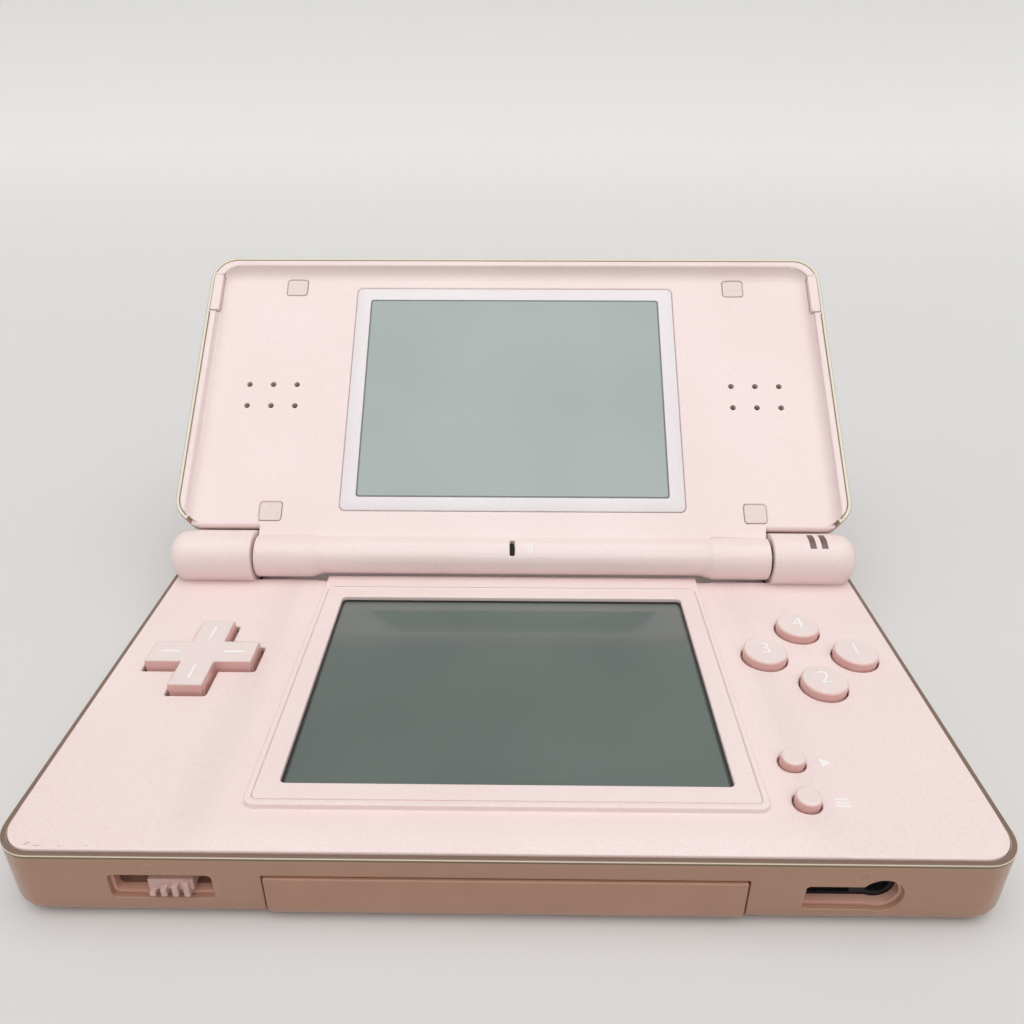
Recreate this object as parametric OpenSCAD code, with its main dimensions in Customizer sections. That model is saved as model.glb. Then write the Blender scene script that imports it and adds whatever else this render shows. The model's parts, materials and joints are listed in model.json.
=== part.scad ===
// A clamshell handheld game console with two screens, standing open on a table.
// X runs to the right, Y to the hinge and Z up, in millimetres.
// The origin is the middle of the underside, and the lid stands at lid_angle.

/* [Case] */
// Width of the base and of the lid
case_w = 133; // [130:1:160]
// Depth of the base from its front face to its rear face
case_d = 73.9; // [73:0.5:88]
// Height of the base up to its face plate
base_h = 12.1; // [12.1:0.1:15]
// Depth of the lid behind the hinge axis line
lid_back = 5.6; // [5.2:0.1:6.8]
// Radius of the case's corners seen from above
corner_r = 5.5; // [5:0.1:6.6]
// Radius of the long edge between the sides and the underside
edge_r = 3.2; // [2.7:0.1:3.8]
// Thickness of the clear outer skin
clear_t = 0.8; // [0.7:0.05:0.96]
// Wall of the coloured case inside the skin
wall_t = 1.2; // [1:0.05:1.44]
// Thickness of the base's face plate
plate_t = 1.05; // [0.9:0.05:1.26]
// Angle between the two halves, 0 when shut
lid_angle = 138.3; // [90:0.1:164]

/* [Hinge] */
// Distance of the hinge axis from the rear face
axis_inset = 5.57; // [5.4:0.05:6.6]
// Height of the hinge axis above the face plate
axis_rise = 3.8; // [3.8:0.05:4.5]
// Radius of the two end barrels on the base
barrel_r = 5; // [4.7:0.05:5.1]
// Length of an end barrel
barrel_l = 16.3; // [15:0.1:16.4]
// Distance of a barrel's inner face from the side of the case
barrel_inset = 16.5; // [15.5:0.1:17.5]
// Radius of the dome at a barrel's outer end
barrel_dome = 3.6; // [3:0.1:4.3]
// Radius of the lid's tube beside the barrels
tube_r = 4.1; // [3.9:0.05:4.2]
// Radius of the lid's tube between the shoulders
tube_mid_r = 3.35; // [3.1:0.05:3.4]
// Distance from the raised frame's side to where the tube grows thicker
tube_mid_gap = 0.75; // [0.4:0.05:1.2]
// Flat on top of the tube before it turns down in front
tube_flat = 0.55; // [0.3:0.05:0.7]
// Radius of the friction unit in the right barrel
cam_r = 3.5; // [3.2:0.05:3.8]
// Radius of the drive pin that turns with the lid
drive_pin_r = 1.7; // [1.4:0.05:2]
// Outer radius of the hollow bush in the left barrel
bush_r = 2.6; // [2.3:0.05:2.9]
// Wall of the hollow bush
bush_t = 0.8; // [0.6:0.05:0.9]

/* [Lid] */
// Distance of the lid's far edge from the hinge axis
lid_reach = 68.2; // [67:0.1:82]
// Distance of the lid's near edge from the hinge axis
lid_near = 5.5; // [5.4:0.05:6.5]
// Height of the lid's plate in front of the hinge axis
lid_plate_rise = 1.54; // [1.4:0.02:1.7]
// Height of the lid's rim above its plate
lid_rim_h = 1.9; // [1.7:0.05:2]
// Width of the rim seen beside the tray
lid_rim_w = 1; // [0.9:0.05:1.3]
// Radius of the cove between the rim and the plate
lid_cove_r = 3.3; // [2.8:0.1:3.7]
// Thickness of the lid's plate
lid_plate_t = 1.5; // [1.4:0.05:1.6]
// Radius of the lid's long outer edge
lid_edge_r = 3; // [2.7:0.1:3.6]

/* [Upper screen] */
// Width of the upper window's clear part
upper_view_w = 62.7; // [60:0.1:64]
// Height of the upper window's clear part
upper_view_h = 46.5; // [44:0.1:48]
// Distance of the upper window's middle from the hinge axis
upper_view_u = 35.2; // [34:0.1:36]
// Width of the printed band round the upper window
upper_band = 3; // [2.4:0.1:3.6]
// Thickness of the upper lens
lens_t = 0.8; // [0.65:0.05:0.9]

/* [Lower screen] */
// Width of the lower window
lower_view_w = 63.3; // [60:0.1:66]
// Depth of the lower window
lower_view_d = 46.8; // [44:0.1:48]
// Place of the lower window's middle, front to back
lower_view_y = -1.35; // [-2:0.05:-1]
// Height of the raised frame above the face plate
frame_h = 0.67; // [0.5:0.01:0.8]
// Width of the flat band between the window and the bead
frame_band = 3.15; // [2.6:0.05:3.6]
// Width of the bead round the frame
bead_w = 0.95; // [0.7:0.05:1.2]
// Height of the bead above the band
bead_h = 0.14; // [0.1:0.01:0.2]
// Width of the trough that runs round the frame
trough_w = 5; // [3:0.5:6]
// Depth of that trough beside the bead
trough_t = 0.3; // [0.1:0.05:0.35]

/* [Controls] */
// Place of the cross pad's middle, sideways
pad_x = -51.65; // [-53:0.05:-50]
// Place of the cross pad's middle, front to back
pad_y = 3.45; // [2:0.05:5]
// Length of the cross pad over two arms
pad_span = 18.2; // [16:0.1:18.6]
// Width of one arm of the cross pad
pad_arm = 6.1; // [5.4:0.1:6.6]
// Height of the cross pad above the face plate
pad_h = 1.6; // [1.3:0.05:1.8]
// Place of the four buttons' middle, sideways
buttons_x = 50.83; // [49:0.05:52]
// Place of the four buttons' middle, front to back
buttons_y = 5.11; // [4:0.05:6]
// Distance of each button from the middle of the four
buttons_r = 7.62; // [7.2:0.02:7.9]
// Radius of a face button
button_r = 3.65; // [3.1:0.05:3.9]
// Height of a face button above the face plate
button_h = 1.6; // [1.3:0.05:1.8]
// Radius of the two small buttons
small_button_r = 1.8; // [1.5:0.05:2.1]
// Height of the small buttons above the face plate
small_button_h = 1.3; // [1:0.05:1.6]
// Place of the small buttons, sideways
small_button_x = 40.98; // [40.6:0.02:42]
// Places of the two small buttons, front to back
small_button_ys = [-19.51, -27.01];
// Travel of a face button
button_travel = 0.8; // [0.5:0.05:0.8]

/* [Front and sides] */
// Height of the cartridge cover's face
cover_h = 8.3; // [7.6:0.1:8.3]
// Width of the cartridge cover's face
cover_w = 62.4; // [60:0.1:63]
// Width of the cartridge bay inside
bay_w = 59.4; // [57:0.1:60.4]
// Depth of the cartridge bay behind the front face
bay_d = 27; // [24:0.5:27]
// Place of the volume slot's middle, sideways
volume_x = -44.65; // [-46:0.05:-43]
// Length of the volume slot
volume_l = 13.5; // [12:0.1:14]
// Height of the volume slot
volume_slot_h = 4.2; // [3.8:0.1:4.4]
// Height of the volume slot's middle
volume_z = 6.35; // [5.6:0.05:6.6]
// Length of the volume knob
volume_knob_l = 5.9; // [5:0.1:6.5]
// Place of the headphone socket, sideways
jack_x = 48.5; // [47:0.1:49]
// Height of the headphone socket's middle
jack_z = 6.05; // [5.6:0.05:6.2]
// Radius of the round opening in front of the headphone socket
jack_mouth_r = 2.85; // [2.6:0.05:3.1]
// Length of the slot beside it, from its end to the middle of the mouth
jack_slot_l = 9.8; // [9:0.1:11]
// Height of that slot
jack_slot_h = 4.15; // [3.8:0.05:4.4]
// Step between the slots of the front face in the clear skin and in the case
lip_step = 0.4; // [0.2:0.05:0.45]
// Radius of the headphone socket's bore
jack_r = 1.8; // [1.75:0.01:1.85]
// Radius of the stylus
stylus_r = 2.45; // [2:0.05:2.5]
// Length of the stylus
stylus_l = 87.5; // [80:0.5:88]
// Place of the stylus, front to back
stylus_y = -5.4; // [-5.6:0.05:-5.2]
// Height of the stylus
stylus_z = 4.3; // [4.2:0.05:4.4]
// Place of the power slot's middle, front to back
power_y = 8.9; // [8:0.1:10]
// Length of the power slot
power_l = 9.6; // [9:0.1:10.4]
// Length of the power knob
power_knob_l = 5.6; // [5:0.1:6]
// Width of the card slot
card_w = 33.8; // [32:0.1:34]
// Height of the card slot
card_h = 4.4; // [4.2:0.05:4.4]
// Depth of the card slot
card_d = 32; // [28:0.5:33]
// Width of a shoulder button, from the case's side inwards
shoulder_w = 22; // [20:0.5:22.5]
// Depth of a shoulder button along the case's side
shoulder_d = 7.6; // [7:0.1:7.8]
// Height of a shoulder button
shoulder_h = 6.2; // [5.6:0.1:6.2]

/* [Inside] */
// Thickness of the circuit boards
board_t = 0.8; // [0.6:0.05:0.9]
// Length of the battery, sideways
battery_l = 35; // [30:0.5:35]
// Width of the battery, front to back
battery_w = 22.5; // [20:0.5:22.5]
// Thickness of the battery
battery_t = 4.6; // [4:0.1:4.7]
// Radius of a speaker
speaker_r = 8; // [7:0.1:8.4]
// Diameter of a hole in front of a speaker
speaker_hole_d = 1.2; // [0.9:0.05:1.4]

/* [Fits] */
// Gap between the clear skin and the case
skin_gap = 0.05; // [0.03:0.01:0.06]
// Gap round a piece that is fixed in its seat
seat_gap = 0.1; // [0.06:0.01:0.12]
// Gap round a button in its hole
button_gap = 0.2; // [0.16:0.01:0.25]
// Gap round a part that slides or swings past another
slide_gap = 0.25; // [0.2:0.01:0.3]
// Radial gap of a pin that turns in its bore
pin_gap = 0.05; // [0.04:0.01:0.06]
// Gap between the lid's rim and the base when shut
shut_gap = 0.3; // [0.25:0.01:0.36]

/* [Hidden] */
$fn = 96;
far = 400; // longer than the console, for cuts that run right through

pink = [0.95, 0.84, 0.84];
deep_pink = [0.86, 0.70, 0.70];
button_pink = [0.90, 0.78, 0.78];
clear_tan = [0.78, 0.72, 0.62, 0.5];
glass_grey = [0.42, 0.47, 0.45];
dark_grey = [0.16, 0.17, 0.18];
board_green = [0.13, 0.36, 0.24];
metal_grey = [0.72, 0.73, 0.75];
rubber_grey = [0.55, 0.55, 0.56];
copper = [0.76, 0.50, 0.28];

// Levels of the base, from the underside up
case_top = base_h - plate_t - skin_gap;
rim_top = base_h - 0.2;
floor_z = clear_t + skin_gap + wall_t;
board_z = floor_z + 5.25;
board_top = board_z + board_t;
frame_top = base_h + frame_h;
channel_z = base_h - 1.8; // floor of the channel under the hinge tube
channel_half = 2.5; // from the hinge axis forward to the channel's front wall
shelf_t = 0.9;
inner_edge_r = 0.5; // radius inside the case along its floor
nest_gap = 0.15; // from that corner to what lies in it
flange_z = case_top - 1.15; // underside of the buttons' flanges
flange_t = 0.95;
button_crown_r = 60;

// What lies on and beside the main board
shield_y = 6;
shield_size = [34, 22, 0.55];
shield_hole_pitch = 6;
radio_x = -40; // the wireless board
radio_y = 15;
radio_l = 32;
radio_w = 22;
radio_board_t = 0.8;
radio_can_t = 2.2;
charge_body_w = 9.6;
charge_body_d = 7.4;

// The case seen from above
front_y = -case_d / 2;
rear_y = case_d / 2;
side_x = case_w / 2;
inner_x = side_x - clear_t - skin_gap - wall_t;
inner_y = rear_y - clear_t - skin_gap - wall_t;
plate_inset = clear_t + seat_gap;

// The hinge
axis_y = rear_y - axis_inset;
axis_z = base_h + axis_rise;
barrel_x = side_x - barrel_inset;
tube_x = barrel_x - 0.3; // half length of the lid's tube
cam_l = 11.8;
light_places = [7.4, 9.6]; // the two status lights, from the barrel's inner face
light_angles = [-9, 36]; // where a status light starts and ends, forward from the top
drive_pin_l = 15.5;
shell_bend_r = 4.2; // radius of the lid's back where it turns down to the tube
shell_bend_u = 1.9;

// The lid in its own frame: x sideways, u from the axis to the far edge, n towards the user
rim_n = lid_plate_rise + lid_rim_h;
lid_under_n = lid_plate_rise - lid_plate_t;
lid_floor_n = -lid_back + clear_t + skin_gap + wall_t;
near_x = side_x - 3; // where the plate's near edge ends in the lid's rounded corners
near_r = 0.8; // radius of that edge
near_strip = clear_t + 0.6; // how far the plate lies over the cut edge of the skin
lid_len = lid_reach - lid_near;
lid_mid_u = (lid_reach + lid_near) / 2;
lens_w = upper_view_w + 2 * upper_band;
lens_h = upper_view_h + 2 * upper_band - 0.3;
lens_n = lid_plate_rise - lens_t;
upper_lcd_t = 2.5;
pad_size = [4.3, 3.85, 0.6];
pad_places = [[-47.8, 61.5], [47.8, 61.5], [-48, 8.8], [48, 8.8]];
speaker_x = 50.5;
speaker_u = 34.8;
speaker_t = 2.2;
speaker_pitch = 4.98;
bumper_size = [1.9, 9, 2.2];
bumper_x = side_x - clear_t - skin_gap - bumper_size[0] / 2;
bumper_u = 59;
lid_screw_r = 0.9;
mic_tilt = 77; // direction of the microphone slot, from the lid's plane
mic_slot_w = 0.95;

// Screws that hold the base together
case_screw_places = [
    [-59.5, -14], [59.5, -14], [-59.5, 20], [59.5, 20], [-57.5, -30.6], [57.5, -30.6],
];
screw_r = 0.85;
screw_head_r = 1.7;
screw_seat_z = 2.3;
boss_r = 2.2;
foot_r = 2.6;
foot_t = 0.95;

// The screens of the base
bead_in_w = lower_view_w + 2 * frame_band;
bead_in_d = lower_view_d + 2 * frame_band;
bead_out_w = bead_in_w + 2 * bead_w;
bead_out_d = bead_in_d + 2 * bead_w;
tube_mid_x = bead_out_w / 2 + tube_mid_gap; // half length of the tube's thin middle
touch_t = 1.1;
touch_z = frame_top - 1.1 - touch_t;
touch_margin = 1.6;
lcd_t = 1.5;
lcd_z = touch_z - seat_gap - lcd_t;
lcd_margin = 2;
lcd_frame_z = lcd_z - 0.5;
lcd_frame_top = base_h - plate_t - 0.08;

// The cross pad rocks about the middle of its ball
pad_hole_gap = 0.3;
pad_end_gap = 0.4;
pad_ball_r = 1.1;
pad_ball_z = board_top + pad_ball_r + 0.1;
pad_flange_r = 10;
pad_flange_z = case_top - 1.75;

// The cartridge bay
bay_wall = 0.6;
bay_z = clear_t + skin_gap + bay_wall + 0.05;
bay_h = lcd_frame_z - 0.07 - bay_wall - bay_z; // up to the frame of the display
cover_t = 1.9;
cover_proud = 0.3;
cover_tongue_d = 9;

// The stylus channel
channel_r = stylus_r + 0.15;
channel_wall = 0.7;
stylus_proud = 0.2;

// The card slot
card_z = floor_z + 0.55;
card_wall = 0.3;
card_front_y = inner_y - 1 - card_d;

// The battery and its bay
battery_x = 37.5;
battery_y = 11;
battery_z = 1.9;
battery_bay_wall = 1;
battery_cover_t = 1.6;
battery_screw_y = 24;
battery_cover_y = battery_y + 1.4; // the cover is longer towards its screw

// The charging inlet, and the strap loop on the other side of the card slot
charge_x = 27.8;
charge_z = 4.6;
strap_x = -28;
strap_z = 5.2;
strap_w = 5.6;
strap_h = 4.2;

// The power slot in the right side
power_z = 6;
power_slot_h = 3;

// The shoulder buttons turn about upright pins
shoulder_z = 2.9;
shoulder_wall = 2;
shoulder_pin_x = side_x - shoulder_w + 2.4;
shoulder_pin_y = inner_y - 1.8;
shoulder_pin_r = 0.8;
shoulder_press_gap = 1.4;
shoulder_eye_r = 1.8;

// ---------------------------------------------------------------- shapes

// A rectangle with round corners, about the origin
module round_rect(w, d, r) {
    square([w - 2 * r, d], center = true);
    square([w, d - 2 * r], center = true);
    for (sx = [-1, 1], sy = [-1, 1])
        translate([sx * (w / 2 - r), sy * (d / 2 - r)]) circle(r);
}

// A plate with round corners, standing on z = 0
module round_plate(w, d, h, r) {
    linear_extrude(h) round_rect(w, d, r);
}

// A block between two corners
module block(low, high) {
    translate(low) cube(high - low);
}

// Cross-section of a tray: a rectangle on the x axis with its lower corners rounded
module tray_section(w, h, r) {
    translate([-w / 2, r]) square([w, h - r]);
    translate([-w / 2 + r, 0]) square([w - 2 * r, h]);
    for (s = [-1, 1]) translate([s * (w / 2 - r), r]) circle(r);
}

// A slab on z = 0 with round plan corners and a rounded lower edge
module tray_slab(w, d, h, rc, re) {
    rotate([90, 0, 0]) linear_extrude(d - 2 * rc, center = true) tray_section(w, h, re);
    rotate([90, 0, 90]) linear_extrude(w - 2 * rc, center = true) tray_section(d, h, re);
    for (sx = [-1, 1], sy = [-1, 1])
        translate([sx * (w / 2 - rc), sy * (d / 2 - rc), 0])
            rotate_extrude() intersection() {
                tray_section(2 * rc, h, re);
                square([rc, h]);
            }
}

// Carries the child outline round a rectangle with round corners: the outline's x points
// outwards from the path and its y points up
module swept_frame(w, d, r) {
    for (a = [0 : 90 : 270]) {
        across = a % 180 == 0 ? w : d;
        along = a % 180 == 0 ? d : w;
        rotate([0, 0, a]) {
            translate([across / 2, 0, 0]) rotate([90, 0, 0])
                linear_extrude(along - 2 * r, center = true) children();
            translate([across / 2 - r, along / 2 - r, 0])
                rotate_extrude(angle = 90) translate([r, 0]) children();
        }
    }
}

// A rod along X between two places
module rod_x(r, from, to) {
    translate([from, 0, 0]) rotate([0, 90, 0]) cylinder(h = to - from, r = r);
}

// A disc whose top edge is rounded and whose top is slightly crowned
module cap(r, h, edge, crown_r) {
    intersection() {
        rotate_extrude() intersection() {
            mirror([0, 1]) translate([0, -h]) tray_section(2 * r, h, edge);
            square([r, h]);
        }
        translate([0, 0, h - crown_r]) sphere(crown_r);
    }
}

// ---------------------------------------------------------------- the base's openings

// Side profile of the hinge barrel, turned about the axis: x is the radius
module barrel_profile(r, l, dome) {
    square([r, l - dome]);
    square([r - dome, l]);
    translate([r - dome, l - dome]) intersection() {
        circle(dome);
        square(dome);
    }
}

// Outline of the headphone opening: a slot that runs into a round mouth
module jack_outline(grow) {
    translate([jack_x, jack_z]) circle(jack_mouth_r + grow);
    translate([jack_x - jack_slot_l / 2, jack_z - 0.5])
        round_rect(jack_slot_l + 2 * grow, jack_slot_h + 2 * grow, 0.6);
}

// Outline of the volume slot
module volume_outline(grow) {
    translate([volume_x, volume_z]) round_rect(volume_l + 2 * grow, volume_slot_h + 2 * grow, 0.7);
}

// Room for the hinge tube behind the screen, down to the given height
module tube_channel(z) {
    block([-barrel_x, axis_y - channel_half, z], [barrel_x, rear_y + 5, axis_z]);
}

// Everything that is cut through both the clear skin and the coloured case, where the slots
// of the front face are narrower by the step
module case_openings(step) {
    // cartridge mouth, open to the front and to the underside
    block([-cover_w / 2 - slide_gap, front_y - 5, -1],
          [cover_w / 2 + slide_gap, front_y + cover_t + slide_gap, cover_h + slide_gap]);
    // headphone and volume openings
    translate([0, front_y + 5, 0]) rotate([90, 0, 0]) linear_extrude(10) {
        jack_outline(-step);
        volume_outline(-step);
    }
    // stylus mouth
    translate([side_x - 5, stylus_y, stylus_z]) rod_x(channel_r, 0, 10);
    // power slot
    translate([side_x, power_y, power_z]) rotate([0, 90, 0])
        linear_extrude(10, center = true) round_rect(power_slot_h, power_l, 1.4);
    // card mouth
    block([-card_w / 2 - 0.2, rear_y - 5, card_z - 0.1],
          [card_w / 2 + 0.2, rear_y + 5, card_z + card_h + 0.1]);
    // charging inlet
    translate([charge_x, rear_y, charge_z]) rotate([90, 0, 0])
        linear_extrude(10, center = true) round_rect(7.6, 3.4, 0.8);
    // strap loop beside it
    translate([strap_x, rear_y, strap_z]) rotate([90, 0, 0])
        linear_extrude(6, center = true) round_rect(strap_w, strap_h, 1);
    // corners for the shoulder buttons
    for (s = [-1, 1]) scale([s, 1, 1])
        block([side_x - shoulder_w - slide_gap, rear_y - shoulder_d - shoulder_press_gap,
               shoulder_z - slide_gap],
              [side_x + 5, rear_y + 5, shoulder_z + shoulder_h + slide_gap]);
    // battery hatch
    translate([battery_x, battery_cover_y, -1])
        round_plate(battery_l + 1.4, battery_w + 5.2, battery_cover_t + 1.1, 1.5);
    // screws and feet
    for (p = case_screw_places) translate([p[0], p[1], -1])
        cylinder(h = foot_t + 1.05, r = foot_r + seat_gap);
}

// ---------------------------------------------------------------- base shells

module base_clear_cover() color(clear_tan) difference() {
    tray_slab(case_w, case_d, rim_top, corner_r, edge_r);
    translate([0, 0, clear_t])
        tray_slab(case_w - 2 * clear_t, case_d - 2 * clear_t, base_h, corner_r - clear_t, edge_r - clear_t);
    case_openings(0);
    tube_channel(channel_z - seat_gap);
}

module base_lower_case() color(pink) difference() {
    inset = clear_t + skin_gap;
    union() {
        difference() {
            translate([0, 0, inset])
                tray_slab(case_w - 2 * inset, case_d - 2 * inset, case_top - inset,
                          corner_r - inset, edge_r - inset);
            translate([0, 0, floor_z])
                tray_slab(2 * inner_x, 2 * inner_y, base_h, corner_r - inset - wall_t, inner_edge_r);
        }
        // channel that holds the stylus
        intersection() {
            translate([0, stylus_y, stylus_z])
                rod_x(channel_r + channel_wall, side_x - stylus_l - 1.5, inner_x + 0.5);
            union() {
                block([-far, -far, inset + 0.2], [inner_x - 0.3, far, board_z - 0.1]);
                block([-far, -far, floor_z - 0.1], [far, far, board_z - 0.1]);
            }
        }
        // battery bay
        translate([battery_x, battery_cover_y, inset + 0.2])
            round_plate(battery_l + 2 * battery_bay_wall + 1.4, battery_w + 2 * battery_bay_wall + 5.2,
                        board_z - 0.4 - inset, 1.5);
        // bosses for the case screws
        for (p = case_screw_places) translate([p[0], p[1], inset + 0.2])
            cylinder(h = board_z - 0.3 - inset, r = boss_r);
        // pocket behind the strap loop
        block([strap_x - strap_w / 2 - 1, inner_y - 2.4, floor_z - 0.1], [strap_x + strap_w / 2 + 1, inner_y + 0.5, 8.2]);
    }
    difference() {
        case_openings(lip_step);
        // the bar of the strap loop
        translate([strap_x, rear_y - clear_t - 0.7, strap_z - strap_h / 2 - 0.2]) cylinder(h = strap_h + 0.4, r = 0.6);
    }
    tube_channel(channel_z - shelf_t - skin_gap);
    // bore of the stylus channel
    translate([0, stylus_y, stylus_z]) rod_x(channel_r, side_x - stylus_l - 0.6, side_x + 5);
    // inside of the battery bay, and the hole of its screw
    translate([battery_x, battery_y, 0])
        round_plate(battery_l + 2 * seat_gap, battery_w + 2 * seat_gap, battery_z + battery_t + seat_gap, 1);
    translate([battery_x, battery_screw_y, 0]) cylinder(h = 6, r = screw_r + pin_gap);
    battery_contact_blocks(seat_gap);
    // screw holes, with a seat for each head
    for (p = case_screw_places) translate([p[0], p[1], -1]) {
        cylinder(h = screw_seat_z + 1, r = screw_head_r + seat_gap);
        cylinder(h = base_h, r = screw_r + pin_gap);
    }
    // the cartridge housing sits through the floor
    block([-bay_w / 2 - bay_wall - seat_gap, front_y, clear_t + skin_gap],
          [bay_w / 2 + bay_wall + seat_gap, front_y + bay_d + bay_wall + seat_gap, bay_z + bay_h + bay_wall + seat_gap]);
}

// Plan outline of the face plate
module plate_outline() {
    round_rect(case_w - 2 * plate_inset, case_d - 2 * plate_inset, corner_r - plate_inset);
}

// The raised frame that reaches back to the hinge tube
module frame_body() {
    low_y = lower_view_y - bead_out_d / 2;
    high_y = axis_y - tube_flat - sqrt(pow(tube_mid_r + slide_gap, 2) - pow(axis_z - frame_top, 2));
    translate([0, (low_y + high_y + 1) / 2, base_h - plate_t])
        round_plate(bead_out_w, high_y + 1 - low_y, plate_t + frame_h, 1.5);
}

module cross_outline(span, arm, r) {
    round_rect(span, arm, r);
    round_rect(arm, span, r);
}

// Plan of the block that carries the right barrel
module barrel_foot() {
    translate([barrel_x, axis_y]) intersection() {
        square([barrel_l, barrel_r]);
        round_rect(2 * barrel_l, 2 * barrel_r, barrel_dome);
    }
}

module hinge_barrels() {
    for (s = [-1, 1]) translate([s * barrel_x, axis_y, axis_z]) rotate([0, s * 90, 0])
        rotate_extrude() barrel_profile(barrel_r, barrel_l, barrel_dome);
    // the barrels stand on the face plate, upright behind the axis, and inside the clear skin
    for (s = [-1, 1]) scale([s, 1, 1]) {
        translate([0, 0, rim_top + seat_gap]) linear_extrude(axis_z - rim_top - seat_gap) barrel_foot();
        translate([0, 0, base_h - plate_t]) linear_extrude(plate_t) intersection() {
            barrel_foot();
            plate_outline();
        }
    }
}

module base_face_plate() color(pink) difference() {
    union() {
        difference() {
            translate([0, 0, base_h - plate_t]) linear_extrude(plate_t) plate_outline();
            // the trough that runs round the raised frame
            trough_r = (pow(trough_w, 2) + pow(trough_t, 2)) / (2 * trough_t);
            translate([0, lower_view_y, base_h - trough_t]) swept_frame(bead_out_w, bead_out_d, 1.5)
                intersection() {
                    translate([0, trough_r]) circle(trough_r, $fn = 360);
                    translate([-0.2, 0]) square([trough_w + 0.2, trough_t + 1]);
                }
            // the plate stops short of the lid's tube between the barrels
            tube_channel(channel_z);
        }
        difference() {
            frame_body();
            // the frame stops at the tube, which turns past it
            for (y = [0, tube_flat]) translate([0, axis_y - y, axis_z])
                rod_x(tube_mid_r + slide_gap, -barrel_x, barrel_x);
            block([-barrel_x, axis_y - 1.2, 0], [barrel_x, rear_y, axis_z]);
        }
        hinge_barrels();
        // shelf that closes the case under the tube
        block([-barrel_x, axis_y - channel_half - shelf_t, channel_z - shelf_t],
              [barrel_x, rear_y - plate_inset, channel_z]);
        block([-barrel_x, axis_y - channel_half - shelf_t, channel_z - shelf_t],
              [barrel_x, axis_y - channel_half, base_h - 0.4]);
        // bosses that take the case screws
        for (p = case_screw_places) translate([p[0], p[1], board_z - 0.05])
            cylinder(h = base_h - plate_t - board_z + 0.5, r = boss_r - 0.2);
    }
    // sunk band between the bead and the window
    translate([0, lower_view_y, frame_top - bead_h]) round_plate(bead_in_w, bead_in_d, 1, 0.9);
    // the window, and the pocket of the touch panel behind it
    translate([0, lower_view_y, 0]) round_plate(lower_view_w, lower_view_d, far, 0.8);
    translate([0, lower_view_y, 0])
        round_plate(lower_view_w + 2 * touch_margin + 2 * seat_gap,
                    lower_view_d + 2 * touch_margin + 2 * seat_gap, touch_z + touch_t + skin_gap, 1);
    // the cross pad's hole
    translate([pad_x, pad_y, 0])
        linear_extrude(far) cross_outline(pad_span + 2 * pad_end_gap, pad_arm + 2 * pad_hole_gap, 0.5);
    // the round buttons' holes
    for (p = button_places()) translate([p[0], p[1], 0]) cylinder(h = far, r = button_r + button_gap);
    for (y = small_button_ys) translate([small_button_x, y, 0])
        cylinder(h = far, r = small_button_r + button_gap);
    // pilot holes of the case screws
    for (p = case_screw_places) translate([p[0], p[1], 0]) cylinder(h = base_h - 0.8, r = screw_r + pin_gap);
    // bores of the barrels: the friction unit on the right, the hollow bush on the left
    translate([0, axis_y, axis_z]) {
        rod_x(cam_r + pin_gap, barrel_x - 1, barrel_x + cam_l + seat_gap);
        rod_x(bush_r + pin_gap, -barrel_x - cam_l, -barrel_x + 1);
    }
    // two windows of the status lights
    light_bars(seat_gap);
}

function button_places() = [
    [buttons_x + buttons_r, buttons_y], [buttons_x, buttons_y + buttons_r],
    [buttons_x - buttons_r, buttons_y], [buttons_x, buttons_y - buttons_r],
];

// The two curved bars of the status lights, grown by their seat's gap
module light_bars(grow) {
    for (x = light_places) translate([barrel_x + x, axis_y, axis_z]) intersection() {
        difference() {
            rod_x(barrel_r + grow, -0.5 - grow, 0.5 + grow);
            rod_x(barrel_r - 0.95 - grow, -1, 1);
        }
        // from just behind the top to the upper front
        rotate([0, 90, 0]) linear_extrude(3, center = true)
            polygon([[0, 0], for (a = light_angles) [-far * cos(a), -far * sin(a)]]);
    }
}

module led_light_pipe() color([0.62, 0.52, 0.52]) light_bars(0);

// ---------------------------------------------------------------- inside the base

module touch_panel() color(glass_grey) translate([0, lower_view_y, touch_z])
    round_plate(lower_view_w + 2 * touch_margin, lower_view_d + 2 * touch_margin, touch_t, 0.9);

module lower_lcd_panel() color(dark_grey) translate([0, lower_view_y, lcd_z]) difference() {
    round_plate(lower_view_w + 2 * lcd_margin, lower_view_d + 2 * lcd_margin, lcd_t, 0.8);
    // step round the glass
    translate([0, 0, lcd_t - 0.15]) round_plate(lower_view_w + 0.6, lower_view_d + 0.6, 1, 0.5);
}

module lcd_frame() color(metal_grey) translate([0, lower_view_y, lcd_frame_z]) difference() {
    wall = 0.9;
    ledge = 6; // how far the floor reaches in under the display
    out_w = lower_view_w + 2 * (lcd_margin + wall);
    out_d = lower_view_d + 2 * (lcd_margin + wall);
    round_plate(out_w, out_d, lcd_frame_top - lcd_frame_z, 1.2);
    translate([0, 0, 0.4])
        round_plate(out_w - 2 * wall + 2 * seat_gap, out_d - 2 * wall + 2 * seat_gap, lcd_t + 1, 0.8);
    translate([0, 0, -1]) round_plate(out_w - 2 * wall - 2 * ledge - 0.2, out_d - 2 * wall - 2 * ledge - 0.2, 3, 2);
}

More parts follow.
